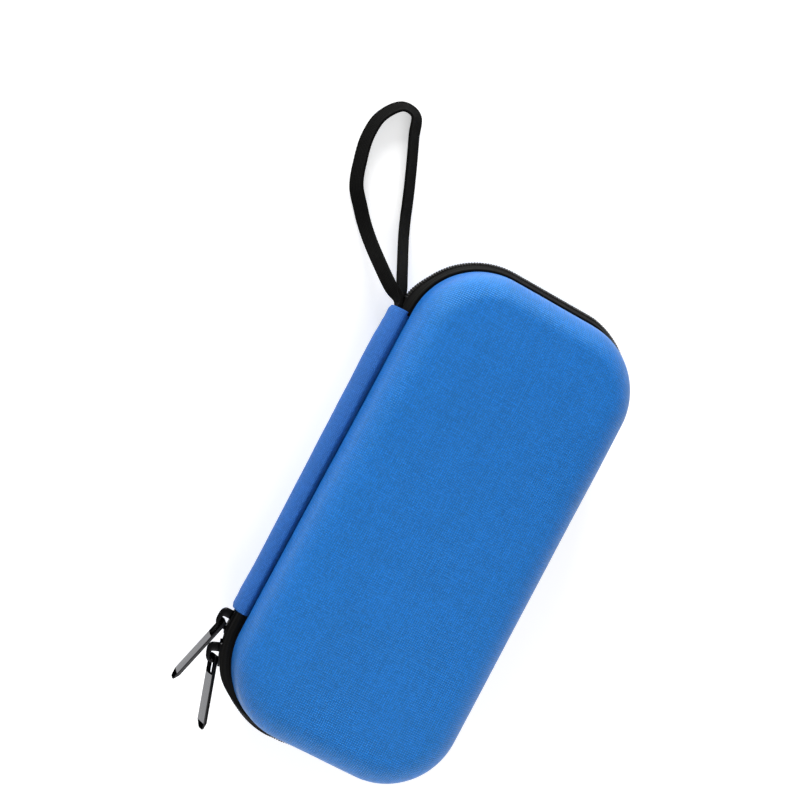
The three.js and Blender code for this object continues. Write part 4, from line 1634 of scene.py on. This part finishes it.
@dataclass
class Spine:
    """The fabric hinge: a padded strip outside and a lining inside."""

    case: Case
    lower_end: float = 64.2 * MM
    upper_end: float = 67.5 * MM
    thickness: float = 1.6 * MM
    bulge: float = 7 * MM
    extra_bulge: float = 1.4 * MM
    overhang: float = 1.7 * MM
    hem: float = 5 * MM
    hem_ridge: tuple[float, float] = (0.25 * MM, 0.7 * MM)  # height, half width
    tuck: tuple[float, float] = (0.5 * MM, 0.8 * MM)  # depth, length
    end_bulge: float = 0.9
    end_run: float = 12 * MM
    crease: float = 1.5 * MM
    crease_turn: float = 9.0
    edge: float = 0.5 * MM
    waves: tuple[float, float] = (15 * MM, 0.22 * MM)  # spacing, height
    lining_inset: float = 2.6 * MM
    lining: float = 0.8 * MM
    lining_turn: float = 0.8 * MM
    lining_fold: float = 1.5 * MM
    lap: float = 0.5 * MM

    def strip(self) -> None:
        """Makes the bulging strip, a little fuller towards the strap, with turned-in ends."""
        case = self.case
        half = case.rise - case.fit
        top = self.upper_end + self.overhang
        stations = case.rim.stretch(-top, self.lower_end, case.step)
        degrees = np.linspace(-90, 90, 37)
        turn = np.radians(degrees)
        pinch = self.crease * np.exp(-((90 - np.abs(degrees)) / self.crease_turn) ** 2) * np.sign(degrees)
        outer = np.column_stack([self.bulge * np.cos(turn), half * np.sin(turn) - pinch])
        inner = np.column_stack([(self.bulge - self.thickness) * np.cos(turn),
                                 (half - self.edge) * np.sin(turn) - pinch])
        section = np.vstack([outer, inner[::-1]])
        rows = stations.sweep(section + (0, case.middle))
        share = np.linspace(1, 0, len(rows))
        turned = np.minimum(share, 1 - share) * (top + self.lower_end)
        tuck = self.tuck[0] * np.clip(1 - turned / self.tuck[1], 0, 1) ** 2
        ridge = self.hem_ridge[0] * np.exp(-((turned - self.hem) / self.hem_ridge[1]) ** 2)
        full = self.extra_bulge * np.sin(share * math.pi / 2) ** 2
        full *= np.clip(turned / self.end_run, self.end_bulge, 1)
        bow = np.append(np.cos(turn), np.cos(turn)[::-1])
        rows[..., 0] -= bow * (full - tuck - ridge)[:, None]
        flat = unrolled(stations.distance, girth(section))
        skin = Skin("spine_strip_cloth").bar(rows, flat)
        settle(soften(skin.object(SPINE_CLOTH, creases=55), *self.waves), "spine_strip")

    def lining_line(self, half: Half) -> np.ndarray:
        """[outset, z] of the lining's middle layer, from its lap on the liner's edge to mid-height.

        Args:
            half: the half that it is sewn to.

        Returns:
            One point a row.
        """
        case, turn = self.case, self.lining_turn
        upright = -self.lining_inset - self.lining / 2
        edge = case.rise - case.fit - self.lining / 2
        lap = np.linspace((-case.liner_inset - self.lap, edge), (upright - turn, edge), 4)
        bend = arc((upright - turn, edge - turn), turn, 90, 0, 5)
        wall = np.linspace((upright, edge - turn), (upright, 0), 9)[1:]
        line = np.vstack([lap[:-1], bend, wall])
        line[:, 1] = case.middle + half.value * line[:, 1]
        return line

    def lining_half(self, half: Half) -> None:
        """Makes one half of the lining, which laps over the rim that it is sewn to.

        Args:
            half: the half that it is sewn to.
        """
        case = self.case
        stations = case.rim.stretch(-self.upper_end, self.lower_end + 2 * case.fit, 2 * case.step)
        section = band(self.lining_line(half), self.lining)
        flat = unrolled(stations.distance, girth(section))
        skin = Skin(f"spine_lining_{half.word}").bar(stations.sweep(section), flat)
        stretch_between(skin.object(ZIPPER_TAPE), "spine_lining", (half.body, "spine"))

    def build(self) -> None:
        """Makes the strip and both halves of its lining."""
        self.strip()
        for half in Half:
            self.lining_half(half)


# Sliders and pull tabs


@dataclass
class Slider:
    """A zipper slider with its bridge, and the pull tab that hangs in it."""

    case: Case
    zipper: Zipper
    word: str
    head: Head
    distance: float
    swing: float
    length: float = 9.8 * MM
    head_width: float = 8 * MM
    tail_width: float = 6.6 * MM
    shoulder: float = 1.2 * MM
    plate: float = 1.2 * MM
    bevel: float = 0.3 * MM
    clearance: float = 0.4 * MM
    curve_room: float = 1 * MM
    flange: float = 0.9 * MM
    flange_depth: float = 1.3 * MM
    flange_set_back: float = 1.6 * MM
    flange_sink: float = 0.2 * MM
    bridge_length: float = 8 * MM
    bridge_height: float = 4.9 * MM
    bridge_width: float = 1.8 * MM
    bridge_wall: float = 1.3 * MM
    bridge_sink: float = 0.4 * MM
    bridge_bevel: float = 0.35 * MM
    post: tuple[float, float] = (0.8 * MM, 2.2 * MM)  # across, along
    post_bevel: float = 0.1 * MM
    post_set_back: float = 0.6 * MM
    tab_length: float = 29 * MM
    tab_width: float = 6.4 * MM
    tab_thickness: float = 1.4 * MM
    tab_rail: float = 1.5 * MM
    tab_window: float = 6.2 * MM
    tab_tip: tuple[float, float] = (3 * MM, 3 * MM)  # width, length
    tab_tip_corner: tuple[float, float, float] = (0.4 * MM, 0.2 * MM, 0.3 * MM)  # out, in and back
    tab_round: float = 0.7 * MM
    tab_ease: float = 0.5 * MM
    tab_bevel: float = 0.2 * MM
    tab_slope: float = 0.65
    # Faces that turn further than this from the blade's flat faces take painted shade.
    tab_dark_tilt: float = 0.95
    tab_bar_at: float = 1.4 * MM
    twist: float = 12.0
    arch_crown: float = 1.8 * MM
    arch_leg: float = 1.45 * MM
    arch_web: float = 2 * MM
    arch_square: tuple[float, float] = (0.75, 0.6)  # outer and inner line, round at 1

    @property
    def outer_plate(self) -> float:
        """Height of the outer plate's underside above the rim."""
        return self.zipper.coil_outer + self.clearance

    @property
    def inner_plate(self) -> float:
        """Height of the inner plate's underside above the rim."""
        return self.zipper.coil_inner - self.curve_room - self.plate

    @property
    def bridge_foot(self) -> float:
        """Height at which the bridge leaves the outer plate."""
        return self.outer_plate + self.plate

    @property
    def place(self) -> Matrix:
        """From the slider's own axes, across, along and out, to the case's.

        Returns:
            The matrix.
        """
        station = self.case.rim.walk(np.array([self.distance]))
        x, y = station.out[0]
        at = station.ring(0, self.case.middle)[0]
        axes = Matrix(((0, 0, -1), (-y, x, 0), (x, y, 0))).transposed().to_4x4()
        return Matrix.Translation(at) @ axes

    def wing(self) -> np.ndarray:
        """A plate's outline, with round shoulders at its wide head and a rounded tail.

        Returns:
            One [across, along] point a row.
        """
        end, wide, narrow = self.length / 2, self.head_width / 2, self.tail_width / 2
        radius = self.shoulder
        right = np.vstack([arc((narrow - radius, radius - end), radius, -90, 0, 6),
                           arc((wide - radius, end - radius), radius, 0, 90, 7)])
        outline = np.vstack([right, right[::-1] * (-1, 1)])
        return outline * (1, self.head.value)

    def arch(self) -> np.ndarray:
        """The bridge's outline of [along, out] points.

        Returns:
            One point a row.
        """
        half, leg, web = self.bridge_length / 2, self.arch_leg, self.arch_web
        spring, foot = self.bridge_height / 2, -self.bridge_sink
        turn = np.radians(np.linspace(180, 0, 15))
        side, rise = np.sign(np.cos(turn)), np.sin(turn)
        wide, narrow = (np.abs(np.cos(turn)) ** power for power in self.arch_square)
        opening = half - leg - web / 2
        outer = np.column_stack([half * side * wide, spring + spring * rise])
        inner = np.column_stack([web / 2 + opening * side * narrow,
                                 spring + (spring - self.arch_crown) * rise])
        feet = [(half, foot), (half - leg, foot)], [(leg + web - half, foot), (-half, foot)]
        return np.vstack([outer, feet[0], inner[::-1], feet[1]])

    def flange_mesh(self, side: int) -> bpy.types.Mesh:
        """One of the outer plate's turned-in edges, which keep the chain in the slider.

        Args:
            side: -1 or 1, across the slider.

        Returns:
            The edge's mesh.
        """
        end = self.length / 2 - self.flange_set_back
        head, tail = self.head_width / 2, self.tail_width / 2
        corners = np.array([(tail, -end), (head, end), (head - self.flange, end), (tail - self.flange, -end)])
        mesh = plate(corners * (side, self.head.value), self.flange_depth, self.bevel)
        mesh.transform(Matrix.Translation((0, 0, self.outer_plate - self.flange_sink)))
        return mesh

    def body(self) -> None:
        """Makes the slider: two plates, their post, the turned-in flanges and the bridge."""
        meshes = []
        for foot in (self.outer_plate, self.inner_plate):
            mesh = plate(self.wing(), self.plate, self.bevel)
            mesh.transform(Matrix.Translation((0, 0, foot + self.plate / 2)))
            meshes.append(mesh)
        bridge = plate(self.arch(), self.bridge_width, self.bridge_bevel)
        upright = Matrix(((0, 0, 1), (1, 0, 0), (0, 1, 0))).to_4x4()
        bridge.transform(Matrix.Translation((0, 0, self.bridge_foot)) @ upright)
        half_x, half_y = (size / 2 for size in self.post)
        corners = np.array([(-half_x, -half_y), (half_x, -half_y), (half_x, half_y), (-half_x, half_y)])
        post = plate(corners, self.outer_plate - self.inner_plate, self.post_bevel)
        at = self.head.value * (self.length / 2 - half_y - self.post_set_back)
        post.transform(Matrix.Translation((0, at, (self.outer_plate + self.inner_plate + self.plate) / 2)))
        meshes += [bridge, post, *(self.flange_mesh(side) for side in (-1, 1))]
        whole = joined(meshes)
        whole.transform(self.place)
        node = f"slider_{self.word}"
        settle(shown(node + "_body", whole, SLIDER_METAL, creases=35), node)

    def tab(self) -> None:
        """Makes the pull tab: a bar and window at the bridge, a flat blade and a bevelled tip, with painted
        shade in black plating on its edges, tip slope and window frame.
        """
        half, bar, end = self.tab_width / 2, self.tab_thickness / 2, self.tab_length
        tip_half, tip_length = self.tab_tip[0] / 2, self.tab_tip[1]
        out, inward, back = self.tab_tip_corner
        tip = [(half, end - tip_length), (tip_half + out, end - back), (tip_half - inward, end)]
        radius = self.tab_round
        right = np.vstack([arc((half - radius, radius - bar), radius, -90, 0, 5), tip])
        outline = np.vstack([right, right[::-1] * (-1, 1)])
        ease = self.tab_ease
        rail, low, high = half - self.tab_rail - ease, bar + ease, bar + self.tab_window - ease
        centres = [(rail, low), (rail, high), (-rail, high), (-rail, low)]
        window = np.vstack([arc(centre, ease, 90 * k - 90, 90 * k, 4) for k, centre in enumerate(centres)])
        mesh = plate(outline, self.tab_thickness, self.tab_bevel, [window])
        shade_faces = self.chamfer(mesh)
        bar_z = self.bridge_foot + (self.bridge_height - self.bridge_wall) / 2
        swing = Matrix.Rotation(math.radians(self.swing), 4, "X")
        hang = swing @ Matrix.Rotation(-math.radians(self.twist), 4, "Y")
        mesh.transform(self.place @ Matrix.Translation((0, self.tab_bar_at, bar_z)) @ hang)
        mesh.polygons.foreach_set("material_index", shade_faces)
        node = f"pull_tab_{self.word}"
        # The shade faces take the black slider plating: painted shade on the tab's edges, tip slope and
        # window frame.
        settle(shown(node + "_blade", mesh, TAB_METAL, 35, SLIDER_METAL), node)

    def chamfer(self, mesh: bpy.types.Mesh) -> list[bool]:
        """Slopes a tab's tip down to a thin end, and picks the faces that get painted shade.

        Args:
            mesh: the tab, still lying flat.

        Returns:
            Which of its faces take the black plating as painted shade: edges, the slope and the window's
            frame.
        """
        start, stop = self.tab_length - self.tab_tip[1], self.tab_length
        frame_end = self.tab_thickness / 2 + self.tab_window
        work = bmesh.new()
        work.from_mesh(mesh)
        for cut in (frame_end, start):
            parts = [*work.verts, *work.edges, *work.faces]
            bmesh.ops.bisect_plane(work, geom=parts, plane_co=(0, cut, 0), plane_no=(0, 1, 0))
        for vert in work.verts:
            vert.co.z *= 1 - self.tab_slope * max(0, (vert.co.y - start) / (stop - start))
        work.normal_update()
        work.to_mesh(mesh)
        work.free()
        return [abs(face.normal.z) < self.tab_dark_tilt or not frame_end < face.center.y < start
                for face in mesh.polygons]

    def build(self) -> None:
        """Makes the slider and its tab."""
        self.body()
        self.tab()


# Wrist strap


@dataclass
class WristStrap:
    """A loop of webbing whose two ends are sewn in at the spine's upper end."""

    case: Case
    width: float = 8 * MM
    thickness: float = 1.2 * MM
    lean: tuple[float, float] = (30.0, 38.0)  # at its first end, and once laid
    droop: float = 38 * MM
    turned: tuple[float, float] = (9 * MM, 12 * MM)  # where it stands upright, at either end
    full_lean: float = 0.25
    hollow: float = 0.78
    rings: int = 220
    squashed: float = 0.2
    stitch: Stitch = Stitch(1.6 * MM, 0.16 * MM)
    seam_at: float = 1.2 * MM
    seam_margin: float = 0.8 * MM
    first_end: tuple[tuple[float, float], ...] = ((-0.6, -4.9), (-0.7, -2.9), (-1.9, 0))
    loop: tuple[tuple[float, float], ...] = (
        (-7.2, 3.2), (-17, 12), (-24, 19.2), (-31.4, 27.6), (-37, 34.5), (-40.5, 44.5), (-42.5, 54.5),
        (-41.5, 64.5), (-35.5, 72.5), (-29.3, 72), (-26, 64.3), (-20.8, 52.4), (-15.1, 38.4), (-7.5, 17.3),
        (-3.2, 6.2),
    )
    last_end: tuple[tuple[float, float], ...] = ((0, 0), (0.75, -2.9), (0.85, -4.9))

    def section(self) -> np.ndarray:
        """The webbing's outline of [across, through] points, with thick woven edges.

        Returns:
            One point a row.
        """
        half, thin = self.width / 2, self.thickness / 2
        edge = arc((half - thin, 0), thin, -90, 90, 7)
        flat = np.linspace(half - 2 * thin, 2 * thin - half, 9)
        top = np.column_stack([flat, np.full(len(flat), self.hollow * thin)])
        return np.vstack([edge, top, edge[::-1] * (-1, 1), top[::-1] * (1, -1)])

    def route(self) -> np.ndarray:
        """The strap's centre line seen from above, from one sewn end round the loop to the other.

        Returns:
            One [x, y] point a row.
        """
        _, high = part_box("strap_anchor")
        root = np.array((high.x - self.thickness / 2, high.y + self.case.fit))
        return root + through(np.array([*self.first_end, *self.loop, *self.last_end]) * MM, self.rings)

    def lay(self, plan: np.ndarray, start: int, stop: int) -> tuple[np.ndarray, np.ndarray, np.ndarray]:
        """Lets the strap sink to the table between its sewn ends, and lean over on the way.

        Args:
            plan: its centre line seen from above.
            start: the first point outside its sewn ends.
            stop: the last one.

        Returns:
            The centre line, and the directions across and through the webbing at each point.
        """
        travelled = steps_along(plan)
        to_come = travelled[-1] - travelled
        laid = smooth(np.minimum(travelled - travelled[start], travelled[stop] - travelled) / self.droop)
        lean = np.radians(np.interp(travelled / travelled[-1], [0, self.full_lean], self.lean))
        lean *= smooth(travelled / self.turned[0]) * smooth(to_come / self.turned[1])
        rest = self.width / 2 * np.cos(lean) + self.thickness / 2 * np.sin(lean) + self.case.fit
        path = np.column_stack([plan, self.case.middle + (rest - self.case.middle) * laid])
        along = headings(plan)
        inward = np.column_stack([along[:, 1], -along[:, 0], np.zeros(len(along))])
        up = np.array([0, 0, 1])
        across = np.cos(lean)[:, None] * up + np.sin(lean)[:, None] * inward
        return path, across, np.cos(lean)[:, None] * inward - np.sin(lean)[:, None] * up

    def build(self) -> None:
        """Lays the strap on the table and sews its ends in."""
        _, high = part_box("strap_anchor")
        plan = self.route()
        start, stop = np.flatnonzero(plan[:, 1] > high.y + self.case.fit)[[0, -1]]
        path, across, through_it = self.lay(plan, start, stop)
        section = self.section()
        rows = path[:, None] + section[:, :1] * across[:, None] + section[:, 1:] * through_it[:, None]
        flat = unrolled(steps_along(plan), girth(section))
        free = slice(start, stop + 1)
        skin = Skin("wrist_strap_webbing").bar(rows[free], flat[free])
        strap = skin.object(STRAP_WEB, creases=60)
        settle(strap, "wrist_strap")
        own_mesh(strap)
        ends = Skin("strap_anchor_ends")
        for sewn in (slice(None, start + 1), slice(stop, None)):
            ends.bar(rows[sewn], flat[sewn])
        row = np.searchsorted(plan[:start, 1], high.y - self.seam_at)
        seam = np.linspace(-1, 1, 8)[:, None] * (self.width / 2 - self.seam_margin) * across[row]
        seam = path[row] - self.thickness / 2 * through_it[row] + seam
        self.anchor(ends.stitches(seam, -through_it[row], self.stitch).object(STRAP_WEB, creases=60))

    def anchor(self, ends: Object) -> None:
        """Fixes the strap's two sewn ends where they lie and lets them stand for the anchor.

        Args:
            ends: the sewn ends, in place.
        """
        stretch_between(ends, "strap_anchor", ("spine", "base"))


# Studio


@dataclass(frozen=True)
class Lamp:
    """A square soft box: where it hangs, its width and its power in watts."""

    name: str
    at: Place
    size: float
    power: float

    def hang(self) -> None:
        """Hangs the lamp so that it faces the case."""
        data = bpy.data.lights.new(self.name, "AREA")
        data.size = self.size
        data.energy = self.power
        lamp = bpy.data.objects.new(self.name, data)
        lamp.location = self.at
        lamp.rotation_euler = (-Vector(self.at)).to_track_quat("-Z", "Y").to_euler()
        bpy.context.scene.collection.objects.link(lamp)


@dataclass
class Studio:
    """A pale table, soft light and the camera."""

    camera_at: Place = (-97.9 * MM, 22.4 * MM, 461.9 * MM)
    camera_aim: Place = (-34.3 * MM, 37.7 * MM, 24 * MM)
    camera_roll: float = 28.24
    focal_length: float = 50.3
    clip_start: float = 10 * MM
    table: float = 6.0
    table_drop: float = 0.05 * MM
    table_colour: Colour = (0.86, 0.86, 0.86)
    table_roughness: float = 0.9
    shown_white: float = 0.45
    white_from: tuple[float, float] = (0.3, 0.9)  # fading out to full white
    lamps: tuple[Lamp, ...] = (Lamp("key", (-0.57, 1.07, 0.4), 0.6, 19.0),
                               Lamp("fill", (0.45, -0.84, 0.87), 0.9, 9.8))
    bright_side: tuple[float, float] = (-0.35, 0.94)
    side_range: tuple[float, float] = (-0.8, 0.9)
    height_range: tuple[float, float] = (0.1, 0.95)
    horizon: float = 0.75
    zenith: float = 0.27
    dim_side: float = 0.25

    def camera(self) -> None:
        """Stands the camera above the case, turned so that the strap points up."""
        data = bpy.data.cameras.new("camera")
        data.lens = self.focal_length
        data.clip_start = self.clip_start
        camera = bpy.data.objects.new("camera", data)
        bpy.context.scene.collection.objects.link(camera)
        look = (Vector(self.camera_aim) - Vector(self.camera_at)).normalized()
        side = look.cross(Vector((0, 1, 0))).normalized()
        level = Matrix((side, side.cross(look), -look)).transposed().to_4x4()
        roll = Matrix.Rotation(math.radians(self.camera_roll), 4, "Z")
        camera.matrix_world = Matrix.Translation(self.camera_at) @ level @ roll
        bpy.context.scene.camera = camera

    def floor(self) -> None:
        """Lays a wide pale table that shows white and keeps the case's soft shadow."""
        half = self.table / 2
        corners = [(-half, -half, 0), (half, -half, 0), (half, half, 0), (-half, half, 0)]
        mesh = bpy.data.meshes.new("table")
        mesh.from_pydata(corners, [], [(0, 1, 2, 3)])
        table = bpy.data.objects.new("table", mesh)
        table.location.z = -self.table_drop
        bpy.context.scene.collection.objects.link(table)
        material = bpy.data.materials.new("Pale table")
        material.use_nodes = True
        g = Graph(material.node_tree)
        shader = material.node_tree.nodes["Principled BSDF"]
        shader.inputs["Base Color"].default_value = (*self.table_colour, 1)
        shader.inputs["Roughness"].default_value = self.table_roughness
        shader.inputs["Emission Color"].default_value = (1, 1, 1, 1)
        path = g.add("LightPath").outputs
        seen = g.maths("MAXIMUM", path["Is Camera Ray"], path["Is Glossy Ray"])
        seen = g.maths("MAXIMUM", seen, path["Is Transmission Ray"])
        place = g.add("TexCoord").outputs["Object"]
        away = g.add("VectorMath", {"Vector": place}, operation="LENGTH").outputs["Value"]
        white = g.ramp(away, self.white_from, (self.shown_white, 1.0), "SMOOTHSTEP")
        g.feed(shader.inputs["Emission Strength"], g.maths("MULTIPLY", seen, white))
        mesh.materials.append(material)

    def sky(self) -> None:
        """Surrounds the table with soft light that is brightest low down, beyond the strap."""
        world = bpy.data.worlds.new("studio")
        world.use_nodes = True
        g = Graph(world.node_tree)
        split = g.add("SeparateXYZ", {"Vector": g.add("TexCoord").outputs["Generated"]}).outputs
        beyond = g.maths("MULTIPLY", split["Y"], self.bright_side[1])
        beyond = g.maths("MULTIPLY_ADD", split["X"], self.bright_side[0], beyond)
        rim = g.ramp(beyond, self.side_range, (self.dim_side, self.horizon))
        level = g.ramp(split["Z"], self.height_range, (rim, self.zenith), "SMOOTHSTEP")
        seen = g.add("LightPath").outputs["Is Camera Ray"]
        background = world.node_tree.nodes["Background"]
        background.inputs["Color"].default_value = (1, 1, 1, 1)
        g.feed(background.inputs["Strength"], g.blend(seen, level, 1.0))
        bpy.context.scene.world = world

    def build(self) -> None:
        """Sets up the camera, the table, the lamps and the sky."""
        self.camera()
        self.floor()
        for lamp in self.lamps:
            lamp.hang()
        self.sky()
        bpy.context.scene.view_settings.view_transform = "Standard"


def main() -> None:
    """Builds the studio and then the case, from the strap and the shells to the inside."""
    logging.basicConfig(level=logging.INFO, format="%(name)s: %(message)s")
    case = Case.from_frame()
    Studio().build()
    WristStrap(case).build()
    for half, crown in ((Half.BACK, 0.5 * MM), (Half.FRONT, 0.6 * MM)):
        Tray(case, half, f"{half.word}_shell", SHELL_CLOTH, case.shell_wall, crown=crown).build()
        Tray(case, half, f"{half.word}_liner", LINER_FOIL, case.liner_wall, inset=case.liner_inset,
             floor=case.shell_wall + case.fit, lip=0.6 * MM).build()
        Binding(case, half).build()
    zipper = Zipper(case)
    zipper.build()
    Spine(case).build()
    Slider(case, zipper, "upper", Head.ONWARD, distance=69.7 * MM, swing=14.5).build()
    round_corner = case.rim.side + math.radians(21.3) * case.corner
    Slider(case, zipper, "lower", Head.BACKWARD, distance=round_corner, swing=3, twist=24).build()
    GelPack(case).build()
    PenPanel(case).build()
    NetPocket(case).build()


if __name__ == "__main__":
    main()
